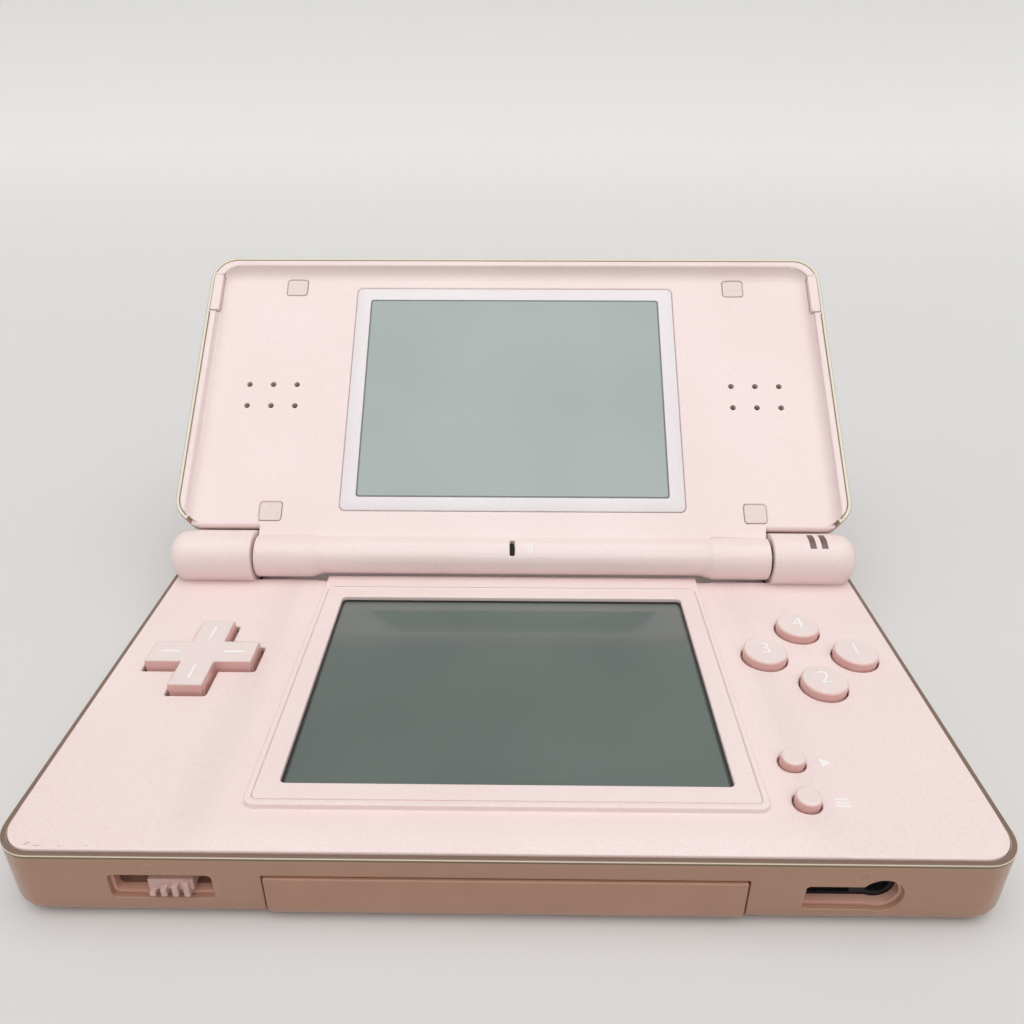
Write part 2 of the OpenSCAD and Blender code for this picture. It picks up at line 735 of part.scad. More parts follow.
module main_board() color(board_green) difference() {
    union() {
        block([-inner_x + 2.5, front_y + 4, board_z], [inner_x - 2.5, axis_y - 4, board_top]);
        for (s = [-1, 1]) scale([s, 1, 1])
            block([inner_x - 10.5, 0, board_z], [inner_x - 2.5, shoulder_pin_y - 0.8, board_top]);
    }
    // room for the cartridge housing
    block([-bay_w / 2 - bay_wall - 0.4, front_y, 0],
          [bay_w / 2 + bay_wall + 0.4, front_y + bay_d + bay_wall + 0.4, far]);
    // notches round the sockets and switches of the front and the right side
    block([jack_x - 3.4, front_y, 0], [jack_x + 3.4, front_y + 16, far]);
    block([volume_x - volume_l / 2 - 1.8, front_y, 0], [volume_x + volume_l / 2 + 1.8, front_y + 7, far]);
    block([inner_x - 5.2, power_y - power_l / 2 - 1.4, 0], [side_x, power_y + power_l / 2 + 1.4, far]);
    // clearance holes of the screw bosses
    for (p = case_screw_places) translate([p[0], p[1], 0]) cylinder(h = far, r = boss_r + 0.3);
}

module processor_shield() color(metal_grey) difference() {
    translate([0, shield_y, board_top + 0.02]) round_plate(shield_size[0], shield_size[1], shield_size[2], 1.2);
    for (i = [-2 : 2]) translate([i * shield_hole_pitch, shield_y, 0]) cylinder(h = far, r = 0.8);
}

module battery() color(dark_grey) translate([battery_x, battery_y, battery_z])
    tray_slab(battery_l, battery_w, battery_t, 2, 1);

// The three spring contacts between the cell and the board
module battery_contact_blocks(grow) {
    low = battery_z + battery_t + skin_gap;
    for (x = [-4, 0, 4])
        translate([battery_x + x, battery_y - battery_w / 2 + 3.5, (low + board_z - 0.02) / 2])
            cube([1 + 2 * grow, 3 + 2 * grow, board_z - 0.02 - low], center = true);
}

module battery_contacts() color(copper) battery_contact_blocks(0);

module battery_cover() color(pink) difference() {
    union() {
        translate([battery_x, battery_cover_y, 0])
            round_plate(battery_l + 1.2, battery_w + 5, battery_cover_t, 1.4);
        for (x = [-10, 10]) translate([battery_x + x, battery_y - battery_w / 2, 0])
            block([-2, -0.1, battery_cover_t - 0.1], [2, 1.6, battery_cover_t + 0.2]);
    }
    translate([battery_x, battery_screw_y, -1]) cylinder(h = far, r = screw_r + pin_gap);
    translate([battery_x, battery_screw_y, -1]) cylinder(h = 1.7, r = screw_head_r + seat_gap);
}

module battery_cover_screw() color(metal_grey) translate([battery_x, battery_screw_y, 0.02])
    machine_screw(0.65, 4.4);

// A cross-head screw seen from its head, which lies on z = 0
module machine_screw(head_t, l) {
    difference() {
        union() {
            cylinder(h = head_t, r = screw_head_r);
            cylinder(h = l, r = screw_r);
        }
        for (a = [0, 90]) rotate([0, 0, a]) translate([-0.9, -0.2, -1]) cube([1.8, 0.4, 1.4]);
    }
}

module wireless_board() color(board_green) {
    translate([radio_x, radio_y, floor_z + 0.05]) {
        linear_extrude(radio_board_t) square([radio_l, radio_w], center = true);
        translate([0, 0, radio_board_t - 0.05]) round_plate(radio_l - 8, radio_w - 5, radio_can_t, 1);
    }
}

module card_slot() color(metal_grey) difference() {
    block([-card_w / 2 - 1.2, card_front_y - 1, card_z - card_wall],
          [card_w / 2 + 1.2, inner_y - nest_gap, card_z + card_h + card_wall - 0.05]);
    block([-card_w / 2, card_front_y, card_z], [card_w / 2, rear_y, card_z + card_h]);
    // latch windows in the roof
    for (s = [-1, 1]) translate([s * 10, card_front_y + 8, 0]) round_plate(5, 9, far, 1);
}

module cartridge_slot() color(dark_grey) difference() {
    block([-bay_w / 2 - bay_wall, front_y + edge_r, bay_z - bay_wall],
          [bay_w / 2 + bay_wall, front_y + bay_d + bay_wall, bay_z + bay_h + bay_wall]);
    block([-bay_w / 2, front_y, bay_z], [bay_w / 2, front_y + bay_d, bay_z + bay_h]);
}

module charge_socket() color(dark_grey) difference() {
    block([charge_x - charge_body_w / 2, inner_y - charge_body_d, floor_z + nest_gap],
          [charge_x + charge_body_w / 2, inner_y - nest_gap, board_z - 0.1]);
    translate([charge_x, rear_y, charge_z]) rotate([90, 0, 0]) linear_extrude(8) round_rect(7.2, 3, 0.6);
}

module headphone_socket() color(dark_grey) difference() {
    union() {
        translate([jack_x, -inner_y + nest_gap, jack_z]) rotate([-90, 0, 0])
            cylinder(h = 13.5, r = jack_mouth_r);
        block([jack_x - 10.4, -inner_y + nest_gap, floor_z + nest_gap],
              [jack_x + 3.2, -inner_y + 11, board_z - 0.05]);
    }
    translate([jack_x, front_y, jack_z]) rotate([-90, 0, 0]) cylinder(h = 15, r = jack_r);
    // the slot of the extension plug
    block([jack_x - 9.2, front_y, jack_z - 1.9], [jack_x - 3.2, -inner_y + 8, board_z - 0.5]);
}

module volume_switch_body() color(dark_grey) difference() {
    block([volume_x - volume_l / 2 - 1.4, -inner_y + nest_gap, floor_z + nest_gap],
          [volume_x + volume_l / 2 + 1.4, -inner_y + 4.4, volume_z + 2.4]);
    translate([0, -inner_y + 2.4, 0]) rotate([90, 0, 0]) linear_extrude(4) volume_outline(0);
}

module power_switch_body() color(dark_grey) difference() {
    block([inner_x - 4.8, power_y - power_l / 2 - 1, floor_z + nest_gap],
          [inner_x - nest_gap, power_y + power_l / 2 + 1, board_top]);
    translate([side_x, power_y, power_z]) rotate([0, 90, 0])
        linear_extrude(2 * (side_x - inner_x + 2.6), center = true) round_rect(power_slot_h, power_l, 1.4);
}

module hinge_cam_unit() color(metal_grey) translate([0, axis_y, axis_z]) difference() {
    rod_x(cam_r, barrel_x + 0.1, barrel_x + cam_l);
    rod_x(drive_pin_r + pin_gap, barrel_x - 1, barrel_x + cam_l - 3);
    // ring grooves of the two cam halves
    for (x = [4, 8]) translate([barrel_x + x, 0, 0]) difference() {
        rod_x(cam_r + 1, 0, 0.4);
        rod_x(cam_r - 0.4, -1, 2);
    }
}

module case_screws() color(metal_grey)
    for (p = case_screw_places) translate([p[0], p[1], screw_seat_z - 1.1]) machine_screw(1.05, 9.2 - screw_seat_z);

module rubber_feet() color(rubber_grey)
    for (p = case_screw_places) translate([p[0], p[1], 0]) cylinder(h = foot_t, r = foot_r);

module pad_membrane() color(rubber_grey) translate([pad_x, pad_y, board_top + 0.02]) difference() {
    union() {
        round_plate(21, 21, 0.3, 3);
        for (a = [0 : 90 : 270]) rotate([0, 0, a]) translate([7, 0, 0]) cylinder(h = 0.45, r = 2.1);
    }
    translate([0, 0, -1]) cylinder(h = 3, r = pad_ball_r + 0.4);
}

module button_membrane() color(rubber_grey) difference() {
    union() {
        translate([buttons_x, buttons_y, board_top + 0.02]) round_plate(23, 23, 0.3, 4);
        for (p = button_places()) translate([p[0], p[1], board_top + 0.02]) cylinder(h = 0.5, r = 2.8);
    }
    // holes that locate the sheet over the battery side of the board
    translate([buttons_x, buttons_y, 0]) cylinder(h = far, r = 1.2);
}

module small_button_membrane() color(rubber_grey) {
    mid_y = (small_button_ys[0] + small_button_ys[1]) / 2;
    translate([small_button_x, mid_y, board_top + 0.02]) round_plate(6, 13.4, 0.3, 2);
    for (y = small_button_ys) translate([small_button_x, y, board_top + 0.02]) cylinder(h = 0.5, r = 1.5);
}

// ---------------------------------------------------------------- the shoulder buttons

module shoulder_pins() color(metal_grey)
    for (s = [-1, 1]) translate([s * shoulder_pin_x, shoulder_pin_y, floor_z + 0.05])
        cylinder(h = channel_z - 0.95 - floor_z, r = shoulder_pin_r);

module shoulder_springs() color(metal_grey)
    for (s = [-1, 1]) translate([s * shoulder_pin_x, shoulder_pin_y, shoulder_z + shoulder_h - 2.2])
        for (i = [0 : 2]) translate([0, 0, i * 0.45])
            rotate_extrude() translate([shoulder_pin_r + 0.45, 0]) circle(0.26);

module shoulder_switches() color(dark_grey)
    for (s = [-1, 1]) scale([s, 1, 1]) {
        block([inner_x - 8.4, shoulder_pin_y - 5, board_z - 3], [inner_x - 3.6, shoulder_pin_y - 1.6, board_z - 0.05]);
        block([inner_x - 6.8, shoulder_pin_y - 1.7, board_z - 2.2], [inner_x - 5.2, shoulder_pin_y - 1.1, board_z - 0.9]);
    }

module right_shoulder_button() color(pink) difference() {
    union() {
        // the outer wall follows the corner of the case
        difference() {
            intersection() {
                tray_slab(case_w, case_d, base_h, corner_r, edge_r);
                block([side_x - shoulder_w, rear_y - shoulder_d, shoulder_z],
                      [side_x + 1, rear_y + 1, shoulder_z + shoulder_h]);
            }
            tray_slab(case_w - 2 * shoulder_wall, case_d - 2 * shoulder_wall, base_h,
                      corner_r - shoulder_wall, edge_r - shoulder_wall);
        }
        // eye round the pin
        translate([shoulder_pin_x, shoulder_pin_y, shoulder_z]) {
            cylinder(h = shoulder_h - 2.6, r = shoulder_eye_r);
            block([-shoulder_eye_r, 0, 0], [shoulder_eye_r, 2.2, shoulder_h - 2.6]);
        }
        // nub that meets the switch
        block([inner_x - 6.6, shoulder_pin_y - 0.3, board_z - 2], [inner_x - 5.4, rear_y - 1.5, board_z - 1.1]);
    }
    translate([shoulder_pin_x, shoulder_pin_y, 0]) cylinder(h = far, r = shoulder_pin_r + pin_gap);
}

module left_shoulder_button() mirror([1, 0, 0]) right_shoulder_button();

// ---------------------------------------------------------------- buttons and sliders

module d_pad_pivot() color(deep_pink) translate([pad_x, pad_y, pad_ball_z]) sphere(pad_ball_r);

module d_pad() color(button_pink) translate([pad_x, pad_y, 0]) difference() {
    top_z = base_h + pad_h;
    union() {
        translate([0, 0, pad_flange_z]) cylinder(h = 0.9, r = pad_flange_r);
        // each arm is drawn in towards its top, with rounded upper edges
        for (a = [0, 90]) rotate([0, 0, a]) intersection() {
            translate([0, 0, pad_flange_z]) mirror([0, 0, 1]) translate([0, 0, pad_flange_z - top_z])
                tray_slab(pad_span, pad_arm, top_z - pad_flange_z, 1, 0.45);
            rotate([90, 0, 0]) linear_extrude(far, center = true) arm_taper(pad_span, pad_flange_z, top_z);
            rotate([90, 0, 90]) linear_extrude(far, center = true) arm_taper(pad_arm, pad_flange_z, top_z);
        }
    }
    translate([0, 0, pad_ball_z]) sphere(pad_ball_r + pin_gap);
    translate([0, 0, pad_flange_z - 1]) cylinder(h = pad_ball_z - pad_flange_z + 1, r = pad_ball_r + pin_gap);
}

// Upright outline of an arm, narrower at the top by the mould's draft
module arm_taper(w, low, high) {
    draft = 0.25;
    polygon([[-w / 2, low], [w / 2, low], [w / 2 - draft, high], [-w / 2 + draft, high]]);
}

// A round button: its shaft in the hole, and a flange under the plate that keeps it in
module round_button(r, h, edge) {
    translate([0, 0, flange_z]) cap(r, base_h + h - flange_z, edge, button_crown_r);
    translate([0, 0, flange_z]) cylinder(h = flange_t, r = r + 0.9);
}

module face_button(i) color(button_pink) translate([button_places()[i][0], button_places()[i][1], 0])
    round_button(button_r, button_h, 0.6);

module face_button_right() face_button(0);
module face_button_top() face_button(1);
module face_button_left() face_button(2);
module face_button_bottom() face_button(3);

module small_button(i) color(button_pink) translate([small_button_x, small_button_ys[i], 0])
    round_button(small_button_r, small_button_h, 0.45);

module start_button() small_button(0);
module select_button() small_button(1);

module volume_knob() color(button_pink) {
    left = volume_x + 1.15 - volume_knob_l / 2;
    right = left + volume_knob_l;
    low = volume_z - volume_slot_h / 2 + lip_step + slide_gap;
    high = volume_z + volume_slot_h / 2 - lip_step - 3 * slide_gap;
    neck_y = -inner_y + 1.1;
    block([left, neck_y - 0.1, low + 0.7], [right, neck_y + 1.05, high]);
    block([left, front_y + 0.35, low + 0.5], [right, neck_y, high]);
    // ridges of one pitch that grow like the steps of a scale
    ridges = 4;
    pitch = volume_knob_l / (ridges - 0.1);
    for (i = [0 : ridges - 1])
        block([left + i * pitch + 0.2, front_y - 0.35, low],
              [left + i * pitch + 1, neck_y, low + (high - low) * (i + 1.6) / (ridges + 0.6)]);
}

module power_knob() color(button_pink) {
    mid = power_y - (power_l - power_knob_l) / 2 + slide_gap;
    translate([side_x + 0.35, mid, power_z]) rotate([0, -90, 0]) linear_extrude(3.4)
        round_rect(power_slot_h - 2 * slide_gap, power_knob_l, 1);
    for (i = [-1 : 1])
        block([side_x + 0.2, mid + i * 1.2 - 0.25, power_z - 0.8], [side_x + 0.6, mid + i * 1.2 + 0.25, power_z + 0.8]);
}

module stylus() color(button_pink) translate([0, stylus_y, stylus_z]) {
    tip_l = 3.4;
    tip_x = side_x + stylus_proud - stylus_l;
    shank_r = stylus_r - 0.25;
    rod_x(stylus_r, side_x - 16, side_x + stylus_proud);
    rod_x(shank_r, tip_x + tip_l, side_x - 15.9);
    translate([tip_x, 0, 0]) rotate([0, 90, 0]) cylinder(h = tip_l, r1 = 0.7, r2 = shank_r);
}

module slot_cover() color(pink) {
    difference() {
        // face of the cover, rounded below like the case
        union() {
            block([-cover_w / 2, front_y - cover_proud, edge_r],
                  [cover_w / 2, front_y + cover_t, cover_h]);
            translate([0, front_y - cover_proud + edge_r, edge_r]) intersection() {
                rod_x(edge_r, -cover_w / 2, cover_w / 2);
                block([-far, -far, 0.15 - edge_r], [far, 0, 0.1]);
            }
            block([-cover_w / 2, front_y - cover_proud + edge_r - 0.01, 0.15], [cover_w / 2, front_y - cover_proud + edge_r, edge_r]);
        }
        // the back of the face is flat
        block([-far, front_y + cover_t, -1], [far, far, far]);
    }
    difference() {
        block([-bay_w / 2 + slide_gap, front_y + cover_t - 0.1, bay_z + slide_gap],
              [bay_w / 2 - slide_gap, front_y + cover_t + cover_tongue_d, bay_z + bay_h - slide_gap]);
        block([-bay_w / 2 + 1.4, front_y + cover_t + 1, bay_z + 1.3],
              [bay_w / 2 - 1.4, far, bay_z + bay_h - 1.3]);
    }
}

// ---------------------------------------------------------------- the lid

// Sets what is drawn flat in the lid's own frame to the open angle
module on_lid() {
    translate([0, axis_y, axis_z]) rotate([180 - lid_angle, 0, 0]) children();
}

// The block of the lid inside a skin of the given thickness
module lid_block(inset, top_n) {
    translate([0, lid_mid_u, -lid_back + inset])
        tray_slab(case_w - 2 * inset, lid_len - 2 * inset, top_n + lid_back - inset,
                  corner_r - inset, lid_edge_r - inset);
}

// The back of the lid between the barrels, where it turns down to the tube
module lid_bridge(inset, half) {
    rotate([90, 0, 90]) linear_extrude(2 * half, center = true) {
        translate([shell_bend_u, -lid_back + shell_bend_r]) circle(shell_bend_r - inset);
        translate([shell_bend_u, -lid_back + inset]) square([lid_near + 6 - shell_bend_u, shell_bend_r - inset]);
    }
}

// The tube of the hinge, thicker beside the barrels than in the middle
module lid_tube(grow) {
    step = 2.5;
    rod_x(tube_mid_r + grow, -tube_x, tube_x);
    // its top runs flat into the lid, so that the step shows below only
    translate([0, tube_flat, 0]) rod_x(tube_mid_r + grow, -tube_x, tube_x);
    block([-tube_x, 0, 0], [tube_x, tube_flat, tube_mid_r + grow]);
    for (s = [-1, 1]) scale([s, 1, 1]) {
        rod_x(tube_r + grow, tube_mid_x + step, tube_x);
        translate([tube_mid_x, 0, 0]) rotate([0, 90, 0])
            cylinder(h = step, r1 = tube_mid_r + grow, r2 = tube_r + grow);
    }
}

module lid_clear_cover() color(clear_tan) on_lid() difference() {
    union() {
        lid_block(0, rim_n - 0.1);
        lid_bridge(0, tube_x);
    }
    lid_block(clear_t, far);
    lid_bridge(clear_t, tube_x - 0.8);
    // open towards the tube and the plate
    block([-tube_x, -far, -lid_back + shell_bend_r], [tube_x, lid_near + 2, far]);
    lid_tube(skin_gap);
    block([-tube_x - 1, lid_near - 1, lid_under_n - 0.5], [tube_x + 1, lid_near + 3, far]);
    // the plate covers the skin's near edge beside the barrels
    block([-near_x, lid_near - 1, lid_under_n - seat_gap], [near_x, lid_near + near_strip, far]);
}

module lid_outer_shell() color(pink) on_lid() difference() {
    inset = clear_t + skin_gap;
    union() {
        difference() {
            union() {
                lid_block(inset, lid_under_n - skin_gap);
                lid_bridge(inset, tube_x - 0.8 - skin_gap);
            }
            lid_block(inset + wall_t, far);
            lid_bridge(inset + wall_t, tube_x - 2.2);
            block([-tube_x, -far, -lid_back + shell_bend_r], [tube_x, lid_near + inset + wall_t + 0.5, far]);
        }
        // bosses of the lid's screws
        for (p = pad_places) translate([p[0], p[1], lid_floor_n - 0.2])
            cylinder(h = lid_under_n - skin_gap - lid_floor_n + 0.2, r = 2.1);
    }
    lid_tube(skin_gap);
    for (p = pad_places) translate([p[0], p[1], lid_floor_n]) cylinder(h = far, r = lid_screw_r + pin_gap);
}

// What is cut into the lid's plate to make its tray: open towards the hinge
module lid_tray_cut() {
    inset = clear_t + skin_gap + lid_rim_w;
    long = lid_reach - inset + 30;
    translate([0, lid_reach - inset - long / 2, lid_plate_rise])
        tray_slab(case_w - 2 * inset, long, 20, corner_r - 1, lid_cove_r);
}

module lid_inner_plate() color(pink) on_lid() difference() {
    inset = clear_t + skin_gap;
    union() {
        difference() {
            // only the part of the lid's block in front of the plate's back
            intersection() {
                lid_block(inset, rim_n);
                block([-far, -far, lid_under_n], [far, far, far]);
            }
            lid_tray_cut();
        }
        // it runs out to the near edge between the rounded corners
        intersection() {
            lid_block(0, lid_plate_rise);
            block([seat_gap - near_x, 0, lid_under_n], [near_x - seat_gap, lid_near + near_strip - seat_gap, far]);
        }
        // the plate runs on to the tube between the barrels
        block([-tube_x, 0, lid_under_n], [tube_x, lid_near + 2, lid_plate_rise]);
        lid_tube(0);
    }
    // rounded near edge beside the barrels
    for (s = [-1, 1]) scale([s, 1, 1]) translate([tube_x, lid_near + near_r, lid_plate_rise - near_r]) difference() {
        block([0, -3, 0], [near_x - tube_x, 0, 3]);
        rod_x(near_r, -1, side_x);
    }
    // seat of the lens, and the opening behind it
    translate([0, upper_view_u, lens_n])
        round_plate(lens_w + 2 * seat_gap, lens_h + 2 * seat_gap, far, 1.2);
    translate([0, upper_view_u, -5]) round_plate(upper_view_w + 2, upper_view_h + 2, far, 1);
    // holes in front of the speakers
    for (s = [-1, 1], i = [-1 : 1], j = [-0.5, 0.5])
        translate([s * speaker_x + i * speaker_pitch, speaker_u + j * speaker_pitch, -5])
            cylinder(h = 10, d = speaker_hole_d);
    // pads, and the screws under them
    for (p = pad_places) translate([p[0], p[1], 0]) {
        translate([0, 0, lid_plate_rise - pad_size[2] - skin_gap])
            round_plate(pad_size[0] + 2 * seat_gap, pad_size[1] + 2 * seat_gap, far, 0.7);
        translate([0, 0, 0.3]) cylinder(h = far, r = 1.6);
        translate([0, 0, -5]) cylinder(h = far, r = lid_screw_r + pin_gap);
    }
    // seats of the bumpers in the rim
    for (s = [-1, 1]) translate([s * bumper_x, bumper_u, rim_n - bumper_size[2] + 0.1])
        round_plate(bumper_size[0] + 0.1, bumper_size[1] + 2 * seat_gap, far, 0.5);
    // bores of the tube: drive pin on the right, bush on the left, wiring between
    rod_x(drive_pin_r + pin_gap, barrel_x - drive_pin_l + 7, barrel_x + 1);
    rod_x(bush_r + pin_gap, -barrel_x - 1, -barrel_x + 9);
    rod_x(2.2, -barrel_x + 8.9, 20);
    // slot of the microphone
    rotate([mic_tilt, 0, 0]) translate([0.1, 2, 0]) block([-mic_slot_w / 2, 0, -1.9], [mic_slot_w / 2, 3, 1.4]);
    // way out of the tube for the flat cable
    block([-30.5, 1, -1.5], [-21.5, 9, -0.7]);
}

module upper_screen_lens() color(glass_grey) on_lid() translate([0, upper_view_u, lens_n + 0.02])
    round_plate(lens_w, lens_h, lens_t - 0.02, 1.1);

module upper_lcd_panel() color(dark_grey) on_lid()
    translate([0, upper_view_u, lid_under_n - upper_lcd_t - skin_gap])
        round_plate(upper_view_w + 6, upper_view_h + 6, upper_lcd_t, 1);

module speaker(s) color(dark_grey) on_lid()
    translate([s * speaker_x, speaker_u, lid_under_n - speaker_t - skin_gap]) difference() {
        union() {
            cylinder(h = speaker_t, r = speaker_r);
            translate([0, 0, -0.8]) cylinder(h = 0.9, r = speaker_r - 3);
        }
        translate([0, 0, speaker_t - 0.5]) cylinder(h = 2, r = speaker_r - 1.2);
    }

module left_speaker() speaker(-1);
module right_speaker() speaker(1);

module lid_pads() color(pink) on_lid()
    for (p = pad_places) translate([p[0], p[1], lid_plate_rise - pad_size[2]])
        round_plate(pad_size[0], pad_size[1], pad_size[2], 0.6);

module lid_screws() color(metal_grey) on_lid()
    for (p = pad_places) translate([p[0], p[1], 0]) {
        translate([0, 0, 0.32]) cylinder(h = 0.55, r = 1.5);
        translate([0, 0, lid_floor_n + 0.2]) cylinder(h = 0.4 - lid_floor_n, r = lid_screw_r);
    }

module lid_bumpers() color(pink) on_lid()
    for (s = [-1, 1]) translate([s * bumper_x, bumper_u, rim_n - bumper_size[2] + 0.15])
        round_plate(bumper_size[0], bumper_size[1], bumper_size[2], 0.45);

module microphone() color(dark_grey) on_lid() rotate([mic_tilt, 0, 0]) translate([0.1, 0.8, 0])
    rotate([-90, 0, 0]) cylinder(h = 1, r = 1.1);

module hinge_drive_pin() color(metal_grey) on_lid()
    rod_x(drive_pin_r, barrel_x - drive_pin_l + 7.2, barrel_x + cam_l - 3.2);

module hinge_bush() color(deep_pink) on_lid() difference() {
    rod_x(bush_r, -barrel_x - cam_l + 1, -barrel_x + 8.8);
    rod_x(bush_r - bush_t, -far, far);
}

module display_flex_cable() color(copper) on_lid() {
    rod_x(bush_r - bush_t - 0.1, -barrel_x - cam_l + 1.4, -20);
    block([-30, 1, -1.25], [-22, 8.3, -1.05]);
    block([-30, 8.1, -3], [-22, 8.3, -1.05]);
}

module lid_wiring_board() color(board_green) on_lid()
    block([-45, 8.5, lid_floor_n + 0.05], [-20, 19, lid_floor_n + 0.05 + board_t]);

base_clear_cover();
base_lower_case();
base_face_plate();
touch_panel();
lower_lcd_panel();
lcd_frame();
main_board();
processor_shield();
battery();
battery_contacts();
battery_cover();
battery_cover_screw();
wireless_board();
card_slot();
cartridge_slot();
charge_socket();
headphone_socket();
hinge_cam_unit();
led_light_pipe();
case_screws();
rubber_feet();
volume_switch_body();
power_switch_body();
pad_membrane();
button_membrane();
small_button_membrane();
shoulder_pins();
shoulder_springs();
shoulder_switches();
d_pad_pivot();
d_pad();
face_button_right();
face_button_top();
face_button_left();
face_button_bottom();
start_button();
select_button();
left_shoulder_button();
right_shoulder_button();
volume_knob();
power_knob();
stylus();
slot_cover();
lid_inner_plate();
lid_outer_shell();
lid_clear_cover();
upper_screen_lens();
upper_lcd_panel();
left_speaker();
right_speaker();
lid_pads();
lid_screws();
lid_bumpers();
microphone();
hinge_drive_pin();
hinge_bush();
display_flex_cable();
lid_wiring_board();
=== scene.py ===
# %% [markdown]
# A clamshell handheld game console in pearly pink plastic, standing open on a pale table.
# Its engineering model is already packed as a frame: every piece has its real size and place, and
# what moves rides on a named body. This lesson gives the frame its looks, one piece or finish in
# each cell. It works in metres, or in millimetres where a name ends in mm or a text says so.

# %% Load the frame
import json
import math

import bpy
import numpy as np
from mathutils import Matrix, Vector

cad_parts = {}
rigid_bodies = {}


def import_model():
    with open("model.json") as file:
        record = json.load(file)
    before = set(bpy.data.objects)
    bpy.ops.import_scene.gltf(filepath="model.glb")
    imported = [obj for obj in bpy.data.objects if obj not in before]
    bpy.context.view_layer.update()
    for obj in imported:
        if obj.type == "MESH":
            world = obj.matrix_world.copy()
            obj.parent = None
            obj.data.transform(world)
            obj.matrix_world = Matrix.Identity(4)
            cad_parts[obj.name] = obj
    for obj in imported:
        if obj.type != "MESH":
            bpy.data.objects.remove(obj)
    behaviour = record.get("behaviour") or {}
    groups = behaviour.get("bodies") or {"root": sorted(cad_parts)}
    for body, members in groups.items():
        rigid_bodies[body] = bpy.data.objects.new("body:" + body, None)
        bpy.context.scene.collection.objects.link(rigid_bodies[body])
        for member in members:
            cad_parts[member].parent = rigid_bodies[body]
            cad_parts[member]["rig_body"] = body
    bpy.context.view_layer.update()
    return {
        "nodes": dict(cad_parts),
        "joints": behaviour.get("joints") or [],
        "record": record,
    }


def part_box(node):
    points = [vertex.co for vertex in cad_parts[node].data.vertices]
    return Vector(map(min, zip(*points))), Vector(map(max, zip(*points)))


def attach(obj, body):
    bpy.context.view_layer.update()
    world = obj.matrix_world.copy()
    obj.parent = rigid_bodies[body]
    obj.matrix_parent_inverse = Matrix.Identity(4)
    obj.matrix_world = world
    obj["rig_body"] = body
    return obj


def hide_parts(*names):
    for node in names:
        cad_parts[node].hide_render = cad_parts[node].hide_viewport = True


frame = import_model()
MM = 0.001

# %% [markdown]
# The camera repeats the photograph's view. A wide lens close to the console makes the near edge
# loom, so its place, tilt and focal length were worked out together from the proportions.

# %% Camera
FOCAL_PX, FRAME_PX = 842.75, 1024
CAMERA_MM, CAMERA_TURN = (1.84, -110.84, 100.10), (62.45, -0.01, 0.73)
camera_data = bpy.data.cameras.new("camera")
camera_data.sensor_width = 36
camera_data.lens = FOCAL_PX / FRAME_PX * camera_data.sensor_width
camera_data.clip_start = 0.01
camera = bpy.data.objects.new("camera", camera_data)
camera.location = [c * MM for c in CAMERA_MM]
camera.rotation_euler = [math.radians(a) for a in CAMERA_TURN]
bpy.context.scene.collection.objects.link(camera)
bpy.context.scene.camera = camera
print("camera: lens", round(camera_data.lens, 2), "mm")

# %% [markdown]
# Every mesh that is made here comes from whole arrays: points worked out at once, and faces that
# join neighbours on a grid. One helper turns such a grid into an object, and others read a mesh or
# a node's box back as arrays.

# %% Mesh helpers
def read_array(items, key, columns, kind=float):
    """One attribute of a mesh's items as an array with that many columns."""
    values = np.empty(len(items) * columns, kind)
    items.foreach_get(key, values)
    return values.reshape(-1, columns) if columns > 1 else values


def box_mm(node):
    """The low and the high corner of a CAD node's box, in millimetres."""
    return [np.array(corner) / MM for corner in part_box(node)]


def make_mesh(name, points, faces, smooth_angle):
    """Object of that name at the origin from an array of points and a list or array of faces."""
    mesh = bpy.data.meshes.new(name)
    mesh.from_pydata(np.asarray(points, float).tolist(), [], np.asarray(faces).tolist()
                     if isinstance(faces, np.ndarray) else faces)
    mesh.update()
    return finish_mesh(name, mesh, smooth_angle)


def finish_mesh(name, mesh, smooth_angle):
    """Links a mesh as an object, smooth but for the edges sharper than the angle in degrees."""
    mesh.shade_smooth()
    mesh.set_sharp_from_angle(angle=math.radians(smooth_angle))
    piece = bpy.data.objects.new(name, mesh)
    bpy.context.scene.collection.objects.link(piece)
    return piece


def grid_faces(rows, columns, wrap_columns=False):
    """Quads between neighbours of a rows by columns grid, whose last column may join the first."""
    r = np.arange(rows - 1)[:, None]
    c = np.arange(columns if wrap_columns else columns - 1)[None, :]
    r2, c2 = r + 1, (c + 1) % columns
    corners = [r * columns + c, r * columns + c2, r2 * columns + c2, r2 * columns + c]
    return np.stack([k + 0 * (r + c) for k in corners], -1).reshape(-1, 4)


low, high = box_mm("base_face_plate")
print("face plate", (high - low).round(1), "mm")

# %% [markdown]
# The hinge's axis and the lid's tilt are used all over, because the lid's pieces are easiest to
# work out as if it lay flat and then turned into place.

# %% The lid's own frame
lid_joint = next(j for j in frame["joints"] if j["name"] == "lid_hinge")
AXIS = np.array(lid_joint["pos_m"])
LID_ANGLE = math.radians(-lid_joint["range_deg"][0])


def lid_to_world(points):
    """Points (x, u, n) of the lid in the frame: u runs along it from the axis, n to the user."""
    x, u, n = np.asarray(points, float).T
    s, c = math.sin(LID_ANGLE), math.cos(LID_ANGLE)
    return np.stack([AXIS[0] + x, AXIS[1] - u * c - n * s, AXIS[2] + u * s - n * c], -1)


def world_to_lid(points):
    """The turn above undone."""
    x, y, z = (np.asarray(points, float) - AXIS).T
    s, c = math.sin(LID_ANGLE), math.cos(LID_ANGLE)
    return np.stack([x, -y * c + z * s, -y * s - z * c], -1)


def lid_points(node):
    """The vertices of a CAD node in the lid's own coordinates."""
    return world_to_lid(read_array(frame["nodes"][node].data.vertices, "co", 3))


print("lid stands at", round(math.degrees(LID_ANGLE), 1), "degrees")

